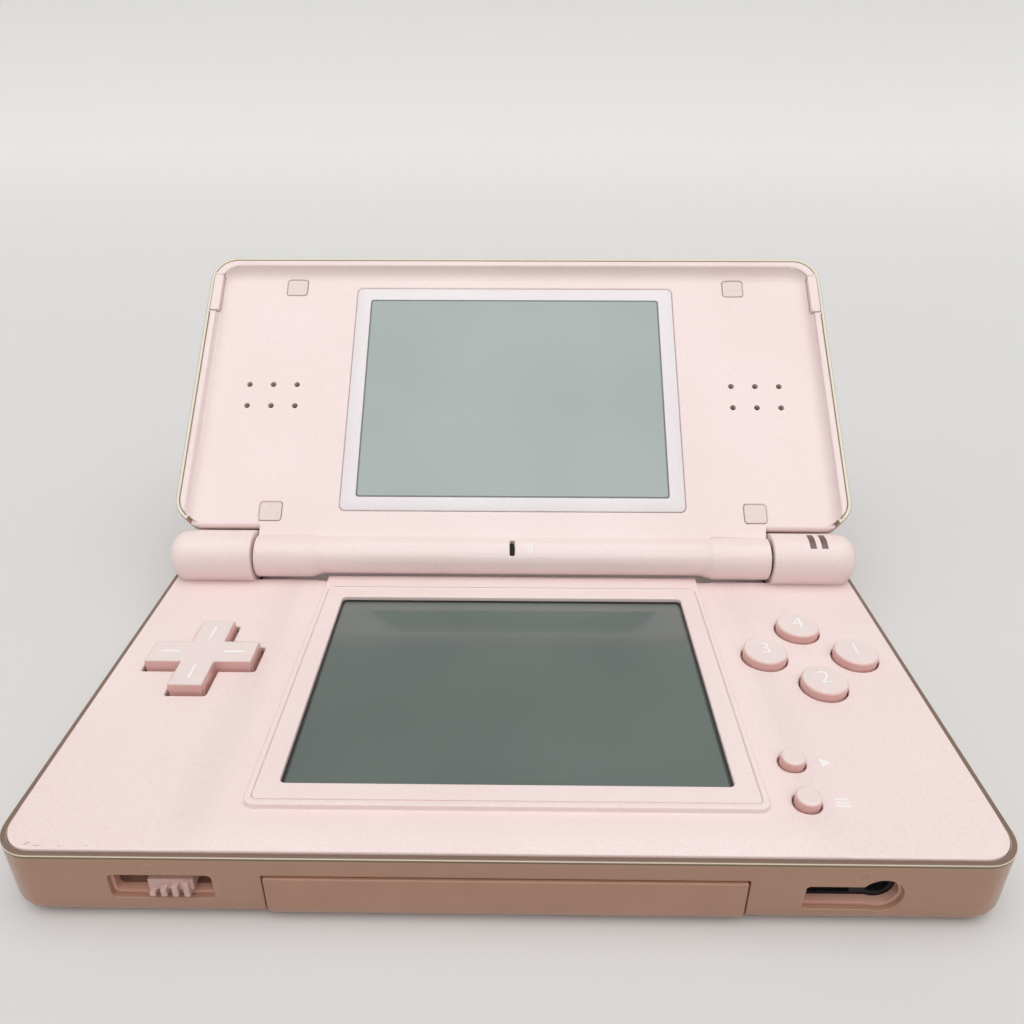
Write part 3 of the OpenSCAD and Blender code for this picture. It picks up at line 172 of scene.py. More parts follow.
# %% [markdown]
# Materials are small node trees. Colours are given as sRGB hex, as a paint chart gives them, and
# turned to linear by one function. One more function adds a node with its settings and links.

# %% Material helpers
def linear(hex_colour):
    """Linear RGBA of an sRGB hex colour such as '#e8c4c6'."""
    srgb = np.array([int(hex_colour[i : i + 2], 16) for i in (1, 3, 5)]) / 255
    value = np.where(srgb <= 0.04045, srgb / 12.92, ((srgb + 0.055) / 1.055) ** 2.4)
    return (*value.tolist(), 1.0)


def add_node(tree, kind, settings=(), inputs=()):
    """A node of that kind, with its settings set and its inputs given values or linked."""
    node = tree.nodes.new(kind)
    for key, value in dict(settings).items():
        setattr(node, key, value)
    for key, value in dict(inputs).items():
        socket = node.inputs[key]
        if isinstance(value, bpy.types.NodeSocket):
            tree.links.new(value, socket)
        else:
            socket.default_value = value
    return node


def calculate(tree, operation, *values):
    """The result of one step of arithmetic on numbers or sockets."""
    return add_node(tree, "ShaderNodeMath", {"operation": operation}, enumerate(values)).outputs[0]


def new_material(name, **values):
    """A material with a Principled shader whose named sockets have these values."""
    material = bpy.data.materials.new(name)
    material.use_nodes = True
    shader = material.node_tree.nodes["Principled BSDF"]
    for key, value in values.items():
        shader.inputs[key.replace("_", " ")].default_value = value
    return material, material.node_tree, shader


def object_place(tree, scale_mm):
    """Object coordinates scaled so that one unit is that many millimetres."""
    place = add_node(tree, "ShaderNodeTexCoord").outputs["Object"]
    return add_node(tree, "ShaderNodeMapping", inputs={
        "Vector": place, "Scale": (1 / (scale_mm * MM),) * 3}).outputs["Vector"]


def noise(tree, scale_mm, detail=2.0, roughness=0.5):
    """Noise whose blobs are about that many millimetres across, as a value near 0.5."""
    return add_node(tree, "ShaderNodeTexNoise", inputs={
        "Vector": object_place(tree, scale_mm), "Scale": 1.0, "Detail": detail,
        "Roughness": roughness}).outputs["Fac"]


def ramp(tree, value, stops):
    """A colour ramp over value, whose stops are (place, hex colour)."""
    node = add_node(tree, "ShaderNodeValToRGB", inputs={"Fac": value})
    elements = node.color_ramp.elements
    while len(elements) < len(stops):
        elements.new(0.5)
    for element, (place, colour) in zip(elements, stops):
        element.position = place
        element.color = linear(colour)
    return node.outputs["Color"]


print("a pale pink is linear", [round(c, 2) for c in linear("#f4deda")])

# %% [markdown]
# The inside faces are ABS, injection moulded and sprayed with a pearl lacquer. Pearl is mica
# flakes, which give the pink a fine grain that glints, and a satin sheen rather than a mirror.

# %% Pearl lacquered ABS
def pearl_lacquered_abs(name, light, mid, dark, swell=None):
    """Pink lacquer whose mica grain is 0.2 mm across, drawn coarser than the real flakes to show.
    A swell (centre y, half width, half depth, reach, height in millimetres) is a soft slope up to
    a rectangle on the base, given by a normal."""
    material, tree, shader = new_material(
        name, Roughness=0.4, Coat_Weight=0.35, Coat_Roughness=0.2, Specular_IOR_Level=0.6)
    flakes = noise(tree, 0.2, detail=3.0, roughness=0.7)
    cloud = noise(tree, 24.0, detail=1.0)
    grain = calculate(tree, "MULTIPLY_ADD", cloud, 0.25, flakes)
    colour = ramp(tree, grain, [(0.42, dark), (0.62, mid), (0.82, light)])
    tree.links.new(colour, shader.inputs["Base Color"])
    gloss = add_node(tree, "ShaderNodeMapRange", inputs={
        "Value": flakes, "From Min": 0.3, "From Max": 0.7,
        "To Min": 0.46, "To Max": 0.34}).outputs[0]
    tree.links.new(gloss, shader.inputs["Roughness"])
    bump = add_node(tree, "ShaderNodeBump", inputs={
        "Height": flakes, "Distance": 0.004 * MM, "Strength": 0.35})
    tree.links.new(bump.outputs["Normal"], shader.inputs["Normal"])
    if swell:
        centre_y, half_w, half_d, reach, rise = [value * MM for value in swell]
        offset = add_node(tree, "ShaderNodeTexCoord").outputs["Object"]
        zero = (0, 0, 0)
        # The distance to the rectangle: past its half size on each axis, and never below nothing.
        for operation, value in (
                ("SUBTRACT", (0, centre_y, 0)), ("MULTIPLY", (1, 1, 0)), ("ABSOLUTE", zero),
                ("SUBTRACT", (half_w, half_d, 0)), ("MAXIMUM", zero), ("LENGTH", zero)):
            step = add_node(tree, "ShaderNodeVectorMath", {"operation": operation},
                            {0: offset, 1: value})
            offset = step.outputs["Value" if operation == "LENGTH" else "Vector"]
        slope = add_node(tree, "ShaderNodeMapRange", {"interpolation_type": "SMOOTHSTEP"}, {
            "Value": offset, "From Max": reach, "To Min": 1.0, "To Max": 0.0}).outputs[0]
        soft = add_node(tree, "ShaderNodeBump", inputs={"Height": slope, "Distance": rise})
        tree.links.new(soft.outputs["Normal"], bump.inputs["Normal"])
    return material


PEARL_PINK = ("#f9e8e4", "#f4deda", "#edd4d0")
SCREEN_SWELL = (-1.35, 37.6, 28.9, 9.0, 1.6)  # round the lower screen's raised frame
pearl_pink = pearl_lacquered_abs("pearl lacquered ABS", *PEARL_PINK)
pearl_base = pearl_lacquered_abs("pearl lacquered ABS, base", *PEARL_PINK, SCREEN_SWELL)
# The printed border is pink, drawn paler and greyer than the plate as a painted reflection.
lens_print_and_reflection = pearl_lacquered_abs("silver pink print behind acrylic",
                                 "#f4efee", "#ece3e4", "#e2d6d8")
print("pearl plastics ready")

# %% [markdown]
# The outside is a second skin of clear polycarbonate over pink ABS. It has aged to a faint straw
# colour, which shows most at its rim, where the eye looks along the sheet instead of through it.
# Alpha stands in for the clear sheet. It rises in the last millimetre below the rim, where the
# colour steps through a band of deeper straw tint, darkened as painted shade, and a pale painted
# highlight along the edge. The flat top of the sheet is painted in another colour: brown on the
# base, a painted shade where the eye looks into the sheet, and cream on the lid.

# %% Pink case and clear skin
RIM_MM = 1.2  # height of the tinted zone below the top of a skin
case_pink, tree, shader = new_material(
    "moulded pink ABS", Roughness=0.3, Coat_Weight=0.6, Coat_Roughness=0.08)
tree.links.new(ramp(tree, noise(tree, 9.0), [(0.35, "#dba794"), (0.7, "#e3b4a2")]),
               shader.inputs["Base Color"])


def clear_polycarbonate(name, outward, rim_height, band, edge, top):
    """Clear skin whose rim lies rim_height metres along the direction outward from the origin, with
    colours for the band below the rim, deepened as painted shade, for a painted highlight on its
    edge and for its top."""
    material, tree, shader = new_material(name, Roughness=0.1, IOR=1.58)
    place = add_node(tree, "ShaderNodeTexCoord").outputs["Object"]
    height = add_node(tree, "ShaderNodeVectorMath", {"operation": "DOT_PRODUCT"},
                      {0: place, 1: outward}).outputs["Value"]
    near_rim = add_node(tree, "ShaderNodeMapRange", inputs={
        "Value": height, "From Min": rim_height - RIM_MM * MM, "From Max": rim_height}).outputs[0]
    # Up the last millimetre: the skin's tan, the band of painted shade, the painted highlight of
    # the edge, then the top.
    tint = ramp(tree, near_rim, [(0.0, "#bd9178"), (0.5, "#b39173"), (0.62, band), (0.8, band),
                                 (0.86, edge), (0.95, edge), (0.985, top)])
    tree.links.new(tint, shader.inputs["Base Color"])
    cover = add_node(tree, "ShaderNodeMapRange", inputs={
        "Value": near_rim, "From Max": 0.8, "To Min": 0.78, "To Max": 0.92}).outputs[0]
    tree.links.new(cover, shader.inputs["Alpha"])
    return material


base_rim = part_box("base_clear_cover")[1].z
# On the base: a dark olive band of painted shade, a pale cream painted highlight on the edge, and a
# brown top of painted shade.
clear_base_skin = clear_polycarbonate(
    "clear polycarbonate, base", (0.0, 0.0, 1.0), base_rim, "#7a644b", "#efdfc6", "#83695a")
lid_normal = (0.0, -math.sin(LID_ANGLE), -math.cos(LID_ANGLE))
lid_rim = lid_points("lid_clear_cover")[:, 2].max() + float(np.dot(lid_normal, AXIS))
# On the lid: an olive band of painted shade, a lighter painted highlight on the edge, and a cream
# top.
clear_lid_skin = clear_polycarbonate(
    "clear polycarbonate, lid", lid_normal, lid_rim, "#857a5f", "#a89c80", "#efe4d0")
print("skin rims at", round(base_rim / MM, 2), "and", round(lid_rim / MM, 2), "mm")

# %% [markdown]
# Buttons are moulded from a tinted translucent resin. Light soaks in a little at their edges. Their
# colour follows which way a face points: the sides are painted a darker salmon than the pale tops,
# a painted shade over the resin's own tint.
# The screens are dark sheets under a hard coat, which is glossy where no dust lies on it.

# %% Button resin and screens
button_resin, tree, shader = new_material(
    "tinted translucent polycarbonate", Roughness=0.2, IOR=1.58, Subsurface_Weight=0.35,
    Subsurface_Scale=1.5 * MM, Coat_Weight=0.5, Coat_Roughness=0.08)
shader.inputs["Subsurface Radius"].default_value = (1.0, 0.5, 0.4)
# Painted shade: faces that point sideways get a darker salmon than the tops, with faint streaks
# from noise.
upward = add_node(tree, "ShaderNodeSeparateXYZ", inputs={
    0: add_node(tree, "ShaderNodeTexCoord").outputs["Normal"]}).outputs["Z"]
streaks_and_facing_shade = calculate(tree, "MULTIPLY_ADD", noise(tree, 5.0), 0.1, upward)
shaded_side_to_top = [(0.2, "#dcaea6"), (0.7, "#e8c6bf"), (0.98, "#efdbd7"), (1.0, "#f1dfdb")]
tree.links.new(ramp(tree, streaks_and_facing_shade, shaded_side_to_top), shader.inputs["Base Color"])


def screen_glass(name, colour, tint, rough, dust_size):
    """Dark screen under a hard coat, dulled by specks of dust of that size in millimetres."""
    material, tree, shader = new_material(
        name, Roughness=rough, IOR=1.52, Specular_IOR_Level=0.7, Coat_Weight=1.0,
        Coat_Roughness=0.02)
    haze = noise(tree, 30.0, detail=1.0)
    dust = noise(tree, dust_size, detail=4.0, roughness=0.8)
    specks = add_node(tree, "ShaderNodeMapRange", inputs={
        "Value": dust, "From Min": 0.72, "From Max": 0.78, "To Max": 0.6}).outputs[0]
    glass = ramp(tree, haze, [(0.3, colour), (0.7, tint)])
    dusty = add_node(tree, "ShaderNodeMix", {"data_type": "RGBA"},
                     {0: specks, 6: glass, 7: linear("#d8dcd8")})
    tree.links.new(dusty.outputs[2], shader.inputs["Base Color"])
    dull = add_node(tree, "ShaderNodeMapRange", inputs={
        "Value": dust, "From Min": 0.66, "From Max": 0.74,
        "To Min": rough, "To Max": 0.5}).outputs[0]
    tree.links.new(dull, shader.inputs["Roughness"])
    return material


upper_glass = screen_glass(
    "hard coated acrylic over the upper display", "#84918c", "#8f9b96", 0.08, 0.6)
lower_glass = screen_glass("touch film over the lower display", "#4f5b56", "#5a6660", 0.12, 0.5)
black_print = screen_glass("black print behind the window", "#202423", "#272b2a", 0.1, 0.6)
print("buttons and screens ready")

# %% [markdown]
# The small parts need no more than one colour, a gloss and a faint grain, because they are seen
# through slots or fill a few pixels. One function makes them all from a material's own values.

# %% Small parts' materials
def plain(name, hex_colour, rough, metallic=0.0, grain_mm=0.6, other=None, **values):
    """A material of one colour with a faint grain in its colour and roughness."""
    material, tree, shader = new_material(name, Metallic=metallic, Roughness=rough, **values)
    speck = noise(tree, grain_mm)
    colour = ramp(tree, speck, [(0.35, hex_colour), (0.65, other or hex_colour)])
    tree.links.new(colour, shader.inputs["Base Color"])
    gloss = add_node(tree, "ShaderNodeMapRange", inputs={
        "Value": speck, "From Min": 0.3, "From Max": 0.7,
        "To Min": rough * 0.85, "To Max": rough * 1.15}).outputs[0]
    tree.links.new(gloss, shader.inputs["Roughness"])
    return material


# Nylon is dull and faintly mottled, and the resist on a board is a glossy green film.
black_nylon = plain("moulded black nylon", "#1b1b1d", 0.5, other="#252527")
solder_resist = plain("green solder resist on glass fibre", "#1d4a33", 0.35, other="#23573c",
                      grain_mm=1.5)
# Tin on rolled steel is soft grey, nickel on turned steel is brighter, and gold is warm.
stamped_steel = plain("stamped tinned steel", "#b9bcc0", 0.28, 1.0, other="#c8cbce")
turned_steel = plain("turned nickelled steel", "#c6c7c9", 0.2, 1.0, other="#d2d3d4")
gilded_brass = plain("gilded spring brass", "#d8b46a", 0.25, 1.0, other="#e2c27c")
# Rubber has no gloss. Foil and film are smooth sheets, and a smoked lens shines over its dark tint.
silicone = plain("moulded grey silicone rubber", "#9a8f8f", 0.7, other="#a59a9a")
foil = plain("printed foil wrap", "#3a3c40", 0.4, other="#44474b")
amber_film = plain("amber polyimide film", "#b5732e", 0.3, other="#c48038")
smoked_lens = plain("smoked light pipe", "#7d5d5b", 0.15, other="#6e504f")
# Ink is flat. Moulded tan and grey pink plastics are satin, with a cloudy tone from their pigment.
white_ink = plain("white pad-printing ink", "#fbf6f4", 0.5, other="#f6efed")
tan_nylon = plain("moulded tan nylon", "#a8806c", 0.5, other="#b48c78")
# The slot cover's tan is darker than the skin beside it, a painted shade.
cover_tan_painted_shade = plain("moulded tan ABS", "#a97d66", 0.35, grain_mm=6.0, other="#ae826b",
                  Coat_Weight=0.3, Coat_Roughness=0.15)
knob_pink = plain("moulded grey pink ABS", "#c9a69c", 0.4, other="#d0aea4")
# Felt takes nearly all light, a scuff is a dull spot in lacquer, and a gate leaves a faint ring.
felt_black = plain("black felt", "#161516", 0.95, grain_mm=0.15, other="#222122")
scuffed = plain("scuffed pearl lacquer", "#bfa093", 0.6, other="#cbb0a4")
pale_resin = plain("witness of a moulding gate", "#b1947d", 0.25, other="#a98b74")
pad_rubber = plain("translucent silicone pad", "#e9d5ce", 0.55, grain_mm=0.4, other="#efddd7")
print("small parts' materials ready")

# %% [markdown]
# The record gives every CAD node a material slot. Each slot has its finish, and a few nodes have
# one of their own, where the same plastic comes in another tone.

# %% Finishes on the nodes
finish_of_slot = {
    "coloured_plastic": pearl_pink, "clear_skin": clear_base_skin, "button_plastic": button_resin,
    "screen_glass": lower_glass, "display": black_nylon, "dark_plastic": black_nylon,
    "circuit_board": solder_resist, "stamped_steel": stamped_steel, "turned_steel": turned_steel,
    "grey_rubber": silicone, "foil_cell": foil, "copper_flex": amber_film,
    "contact_metal": gilded_brass,
}
slot_of = {s["node"]: s["material_slot"] for s in frame["record"]["subparts"]}
finish_of_node = {
    "base_face_plate": pearl_base, "base_lower_case": case_pink, "lid_outer_shell": case_pink,
    "slot_cover": cover_tan_painted_shade, "lid_pads": pad_rubber, "battery_cover": case_pink,
    "volume_switch_body": tan_nylon, "volume_knob": knob_pink,
    "left_shoulder_button": case_pink, "right_shoulder_button": case_pink,
    "upper_screen_lens": upper_glass, "led_light_pipe": smoked_lens,
    "lid_clear_cover": clear_lid_skin,
}
for node, piece in frame["nodes"].items():
    piece.data.materials.clear()
    piece.data.materials.append(finish_of_node.get(node, finish_of_slot[slot_of[node]]))
print("finishes on", len(frame["nodes"]), "nodes")

# %% [markdown]
# A moulded part has no knife edges: the tool leaves a radius of a few tenths of a millimetre that
# catches the light. A copy of the CAD solid is merged, freed of its needless triangles, and given
# that radius on every edge where two faces meet at more than 35 degrees. Where very short edges
# crowd together the radius would not fit, so those few spots are left as they are.

# %% Moulded edges on the plastic parts
MERGE_MM, FLAT_DEGREES, SHARP_DEGREES = 0.002, 0.4, 35


def sharp_edges(mesh, degrees):
    """True for each edge whose two faces' normals differ by more than the angle."""
    normals = read_array(mesh.polygons, "normal", 3)
    corners = read_array(mesh.polygons, "loop_total", 1, int)
    face_of_corner = np.repeat(np.arange(len(normals)), corners)
    by_edge = np.argsort(read_array(mesh.loops, "edge_index", 1, int), kind="stable")
    sides = face_of_corner[by_edge].reshape(-1, 2)
    return (normals[sides[:, 0]] * normals[sides[:, 1]]).sum(1) < math.cos(math.radians(degrees))


def edges_near(mesh, spots):
    """True for each edge with an end inside a spot (distance from the middle plane, y, z and radius
    in millimetres)."""
    points = read_array(mesh.vertices, "co", 3) / MM
    points[:, 0] = np.abs(points[:, 0])
    inside = np.zeros(len(points), bool)
    for spot in spots:
        inside |= np.linalg.norm(points - spot[:3], axis=1) < spot[3]
    return inside[read_array(mesh.edges, "vertices", 2, int)].any(1)


def with_modifiers(piece, steps):
    """The piece's mesh after the modifiers (kind, settings), which are baked into it."""
    for kind, settings in steps:
        modifier = piece.modifiers.new(kind.lower(), kind)
        for key, value in settings.items():
            setattr(modifier, key, value)
    graph = bpy.context.evaluated_depsgraph_get()
    baked = bpy.data.meshes.new_from_object(piece.evaluated_get(graph), depsgraph=graph)
    piece.modifiers.clear()
    piece.data = baked
    baked.name = piece.name
    return baked


def soften(node, width_mm, name, crowded):
    """A copy of a CAD node with its sharp edges rounded to that width, standing for the node."""
    piece = finish_mesh(name, frame["nodes"][node].data.copy(), SHARP_DEGREES)
    mesh = with_modifiers(piece, [
        ("WELD", {"merge_threshold": MERGE_MM * MM}),
        ("DECIMATE", {"decimate_type": "DISSOLVE", "angle_limit": math.radians(FLAT_DEGREES)})])
    sharp, near = sharp_edges(mesh, SHARP_DEGREES), edges_near(mesh, crowded)
    weights = mesh.attributes.new("bevel_weight_edge", "FLOAT", "EDGE")
    weights.data.foreach_set("value", (sharp & ~near).astype(float))
    mesh.edges.foreach_set("use_edge_sharp", sharp & near)
    with_modifiers(piece, [
        ("BEVEL", {"width": width_mm * MM, "segments": 3, "limit_method": "WEIGHT",
                   "use_clamp_overlap": False, "miter_outer": "MITER_ARC"}),
        ("WEIGHTED_NORMAL", {"mode": "FACE_AREA_WITH_ANGLE", "weight": 50, "keep_sharp": True})])
    return stand_for(piece, node)


def stand_for(piece, node):
    """The piece rides with the node's body and hides the node."""
    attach(piece, frame["nodes"][node]["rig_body"])
    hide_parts(node)
    return piece


edge_radius = {
    "base_face_plate": 0.22, "lid_inner_plate": 0.3, "lid_clear_cover": 0.28,
    "base_clear_cover": 0.15, "lid_outer_shell": 0.12, "slot_cover": 0.2, "d_pad": 0.12,
    "volume_knob": 0.12, "power_knob": 0.12, "left_shoulder_button": 0.25,
    "right_shoulder_button": 0.25, "lid_pads": 0.15, "lid_bumpers": 0.15, "battery_cover": 0.15,
    "rubber_feet": 0.15,
}
crowded_spots = {
    "base_face_plate": [(65.6, 31.4, 11.5, 1.5), (66.3, 31.4, 13.9, 0.7), (35.4, 29.6, 12.4, 0.9),
                        (58.5, 31.4, 20.0, 3.4)],
    "lid_inner_plate": [(65.0, 36.8, 23.0, 1.8), (63.7, 35.7, 22.0, 1.5), (55.1, 34.6, 20.7, 0.8),
                        (61.6, 35.2, 21.3, 1.0), (49.7, 34.9, 21.0, 0.6), (50.5, 56.4, 40.2, 8.5)],
}
for node, width in edge_radius.items():
    piece = soften(node, width, node + "_moulding", crowded_spots.get(node, ()))
    print(node, len(piece.data.polygons), "faces")

# %% [markdown]
# A window is a rounded rectangle whose outline steps in and up. A loft through a few such rings
# gives it its crisp outline, its small polished bevel and the border printed on it.

# %% Lofts through rounded rectangles
CORNER_POINTS = 8


def rounded_rectangle(width, depth, radius):
    """Points round a rectangle with quarter circles of the radius at its corners, anticlockwise."""
    turn = np.linspace(0, math.pi / 2, CORNER_POINTS)
    quarter = np.stack([np.cos(turn), np.sin(turn)], -1) * radius
    sides = []
    for k, (sx, sy) in enumerate([(1, 1), (-1, 1), (-1, -1), (1, -1)]):
        c, s = (1, 0, -1, 0)[k], (0, 1, 0, -1)[k]
        corner = quarter @ np.array([[c, s], [-s, c]])
        sides.append(corner + [sx * (width / 2 - radius), sy * (depth / 2 - radius)])
    return np.concatenate(sides)


def ring_loft(name, centre, rings, materials, place=None):
    """Rings (width, depth, radius, height, material index) in millimetres about a centre, joined in
    order by quads and closed at both ends by a flat face. place turns the points into place."""
    count = 4 * CORNER_POINTS
    outlines = [np.concatenate([rounded_rectangle(w, d, r), np.full((count, 1), h)], 1)
                for w, d, r, h, _ in rings]
    points = (np.concatenate(outlines) + [*centre, 0]) * MM
    faces = grid_faces(len(rings), count, wrap_columns=True)
    polygons = faces.tolist() + [list(range((len(rings) - 1) * count, len(rings) * count)),
                                 list(range(count))[::-1]]
    piece = make_mesh(name, place(points) if place else points, polygons, 30)
    for material in materials:
        piece.data.materials.append(material)
    index = np.repeat([ring[4] for ring in rings[1:]], count).tolist() + [rings[-1][4], rings[0][4]]
    piece.data.polygons.foreach_set("material_index", index)
    return piece


print("a window outline has", 4 * CORNER_POINTS, "points")

# %% [markdown]
# The upper window is one sheet of acrylic. A pink border is printed behind it, drawn paler and more
# silver than the plate as a painted reflection, so border and glass share one flat face, and only a
# thin bevel runs round the sheet.

# %% Upper window
lens = lid_points("upper_screen_lens") / MM
lens_low, lens_high = lens.min(0), lens.max(0)
lens_w, lens_d = (lens_high - lens_low)[:2]
lens_top = lens_high[2]
BAND = 3.0  # width of the printed border
clear_w, clear_d = lens_w - 2 * BAND, lens_d - 2 * BAND
# The rings are the sheet's side, its bevel, the border, a thin black line and the clear part.
stand_for(ring_loft(
    "upper_window_sheet", (0, (lens_low[1] + lens_high[1]) / 2), [
        (lens_w, lens_d, 1.1, lens_low[2], 0), (lens_w, lens_d, 1.1, lens_top - 0.16, 0),
        (lens_w - 0.1, lens_d - 0.1, 1.05, lens_top - 0.05, 0),
        (lens_w - 0.3, lens_d - 0.3, 0.95, lens_top, 0),
        (clear_w, clear_d + 0.3, 0.6, lens_top, 0),
        (clear_w - 0.7, clear_d - 0.4, 0.4, lens_top, 1),
        (clear_w - 0.9, clear_d - 0.6, 0.4, lens_top, 2)],
    [lens_print_and_reflection, black_print, upper_glass], lid_to_world), "upper_screen_lens")
print("upper window", round(lens_w, 1), "by", round(lens_d, 1), "mm")

# %% [markdown]
# The lower window is a touch film that lies a millimetre below its frame. Behind it a black border
# shows as a thin line round the display.

# %% Lower window
low, high = box_mm("touch_panel")
film_w, film_d = (high - low)[:2]
stand_for(ring_loft(
    "lower_touch_film", (0, (low[1] + high[1]) / 2), [
        (film_w, film_d, 0.9, low[2], 1), (film_w, film_d, 0.9, high[2], 1),
        (film_w - 4.2, film_d - 4.2, 0.5, high[2], 1),
        (film_w - 4.4, film_d - 4.4, 0.5, high[2], 0)],
    [lower_glass, black_print]), "touch_panel")
print("lower window", round(film_w, 1), "by", round(film_d, 1), "mm")

# %% [markdown]
# Marks are pad printed: a silicone pad lays down a film of ink about two hundredths of a
# millimetre thick. Each mark is a flat outline with that thickness, which sits on its button and
# moves with it. The buttons carry plain numbers, and the cross pad has a dash on each arm.

# %% Printed marks
INK_MM, SUNK_MM = 0.03, 0.02  # how far a mark stands proud of its surface, and reaches below it


def raised_outlines(name, outlines, low, high, material, body, place=None):
    """Flat closed outlines (arrays of x, y in millimetres), each raised from low to high and closed
    at both ends."""
    points, faces, start = [], [], 0
    for outline in outlines:
        count = len(outline)
        points += [np.concatenate([outline, np.full((count, 1), h)], 1) for h in (low, high)]
        faces += (grid_faces(2, count, wrap_columns=True) + start).tolist()
        faces.append(list(range(start + count, start + 2 * count)))
        faces.append(list(range(start, start + count))[::-1])
        start += 2 * count
    points = np.concatenate(points) * MM
    piece = make_mesh(name, place(points) if place else points, faces, 30)
    piece.data.materials.append(material)
    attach(piece, body)
    return piece


def turned(outline, degrees, centre):
    """An outline turned about the origin and then moved to a centre."""
    c, s = math.cos(math.radians(degrees)), math.sin(math.radians(degrees))
    return outline @ np.array([[c, s], [-s, c]]) + centre


low, high = box_mm("d_pad")
pad_centre, pad_top = (low + high)[:2] / 2, high[2]
dash = rounded_rectangle(3.5, 0.45, 0.2) + [5.35, 0]
raised_outlines("d_pad_dashes", [turned(dash, a, pad_centre) for a in (0, 90, 180, 270)],
                pad_top - SUNK_MM, pad_top + INK_MM, white_ink, "cross_pad")
print("dashes at", pad_centre.round(2))

# %% [markdown]
# A number is a text curve with a little thickness. It is made a mesh first, and then its points
# are moved to the middle of its button, so that its object stays at the origin.

# %% Numbers on the round buttons
DIGIT_HEIGHT = 0.7  # share of the text size that a digit stands tall
NUMBER_MM, NUMBER_SUNK_MM = 3.0, 0.01  # its height, and how far its middle plane lies in the button


def number_mesh(text, size_mm, middle, top, name, body):
    """A number of that height in millimetres, printed flat with its middle at a place."""
    curve = bpy.data.curves.new(name, "FONT")
    curve.body, curve.size = text, size_mm * MM / DIGIT_HEIGHT
    curve.extrude = INK_MM * MM / 2
    curve.align_x, curve.align_y = "CENTER", "CENTER"
    writing = bpy.data.objects.new(name + "_curve", curve)
    bpy.context.scene.collection.objects.link(writing)
    graph = bpy.context.evaluated_depsgraph_get()
    mesh = bpy.data.meshes.new_from_object(writing.evaluated_get(graph), depsgraph=graph)
    bpy.data.objects.remove(writing)
    points = read_array(mesh.vertices, "co", 3)
    points[:, :2] -= (points.min(0) + points.max(0))[:2] / 2
    points += np.array([middle[0], middle[1], top]) * MM
    mesh.vertices.foreach_set("co", points.ravel())
    mesh.materials.clear()
    mesh.materials.append(white_ink)
    piece = finish_mesh(name, mesh, 30)
    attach(piece, body)
    return piece


for number, side in enumerate(("right", "bottom", "left", "top"), 1):
    low, high = box_mm("face_button_" + side)
    middle = (low + high)[:2] / 2 + [0, 0.5]
    number_mesh(str(number), NUMBER_MM, middle, high[2] - NUMBER_SUNK_MM,
                "number_on_%s_button" % side, side + "_button")
print("numbers on four buttons")

# %% [markdown]
# Beside the two small buttons are small marks in white ink, a triangle and three bars. A few scuffs
# at the plate's front left corner are thin slivers that lie on it.

# %% Marks on the plate
PLATE_MM, SCUFF_MM = 1.1, 0.01  # height of the plate's face above the case, and of a scuff on it
plate_top = box_mm("base_lower_case")[1][2] + PLATE_MM
start_middle, select_middle = [sum(box_mm(node))[:2] / 2
                               for node in ("start_button", "select_button")]
triangle = np.array([[0.95, 0.0], [-0.55, 0.85], [-0.55, -0.85]]) + start_middle + [4.6, 0]
bars = [rounded_rectangle(2.0, 0.3, 0.12) + (select_middle + [4.8, step])
        for step in (-0.6, 0, 0.6)]
raised_outlines("plate_marks", [triangle] + bars, plate_top - SUNK_MM, plate_top + INK_MM,
                white_ink, "base")


def sliver(start, end, width):
    """The outline of a thin scuff with pointed ends. Its points are given as how far they lie from
    start to end, and to the left in half widths."""
    start, end = np.array(start), np.array(end)
    left = np.array([start[1] - end[1], end[0] - start[0]]) / np.hypot(*(end - start)) * width / 2
    shape = np.array([(0, 0), (0.3, -1), (0.6, -0.6), (1, 0), (0.65, 1), (0.25, 0.5)])
    return start * (1 - shape[:, :1]) + end * shape[:, :1] + left * shape[:, 1:]


SCUFFS = [((-62.0, -35.45), (-61.2, -34.9), 0.3), ((-60.8, -35.45), (-59.4, -35.55), 0.13),
          ((-57.6, -35.52), (-56.9, -35.5), 0.1), ((-54.5, -35.35), (-54.25, -35.42), 0.12),
          ((-54.05, -35.33), (-53.6, -35.45), 0.15)]
raised_outlines("plate_scuffs", [sliver(*scuff) for scuff in SCUFFS], plate_top - SUNK_MM,
                plate_top + SCUFF_MM, scuffed, "base")
print("marks and", len(SCUFFS), "scuffs on the plate")

# %% [markdown]
# The place beside the microphone slot carries three raised arcs, as for sound that comes in. On the
# tube a mark has to bend. It is drawn flat, with one axis along the tube and the other measured
# over its section, and then laid round it.

# %% Marks on the tube
TUBE_R, TUBE_FLAT, SLOT_MIDDLE = 3.35, 0.55, 0.85  # millimetres


def tube_surface(points):
    """Points (x, way, height) laid on the lid's tube, whose section is half round, then flat for
    0.55 mm and round again. The way is measured over that section, up from the slot's middle."""
    x, way, height = points.T / MM
    way = way + SLOT_MIDDLE
    flat = np.clip(way, 0, TUBE_FLAT)
    angle = (way - flat) / TUBE_R
    radius = TUBE_R + height
    section = [flat + radius * np.sin(angle), radius * np.cos(angle)]
    return lid_to_world(np.stack([x, *section], -1) * MM)


def arc_band(radius, half_width, from_angle, to_angle, centre, count=24):
    """The outline of a band that follows an arc, with its angles in radians."""
    turn = np.linspace(from_angle, to_angle, count)
    way = np.stack([np.cos(turn), np.sin(turn)], -1)
    return np.concatenate([way * (radius + half_width), way[::-1] * (radius - half_width)]) + centre


arcs = [arc_band(radius, 0.11, -0.8, 0.8, (2.2, 0)) for radius in (0.6, 1.15, 1.7)]
raised_outlines("sound_arcs", arcs, -SUNK_MM, INK_MM, white_ink, "lid",
                tube_surface)
print(len(arcs), "arcs on the tube")

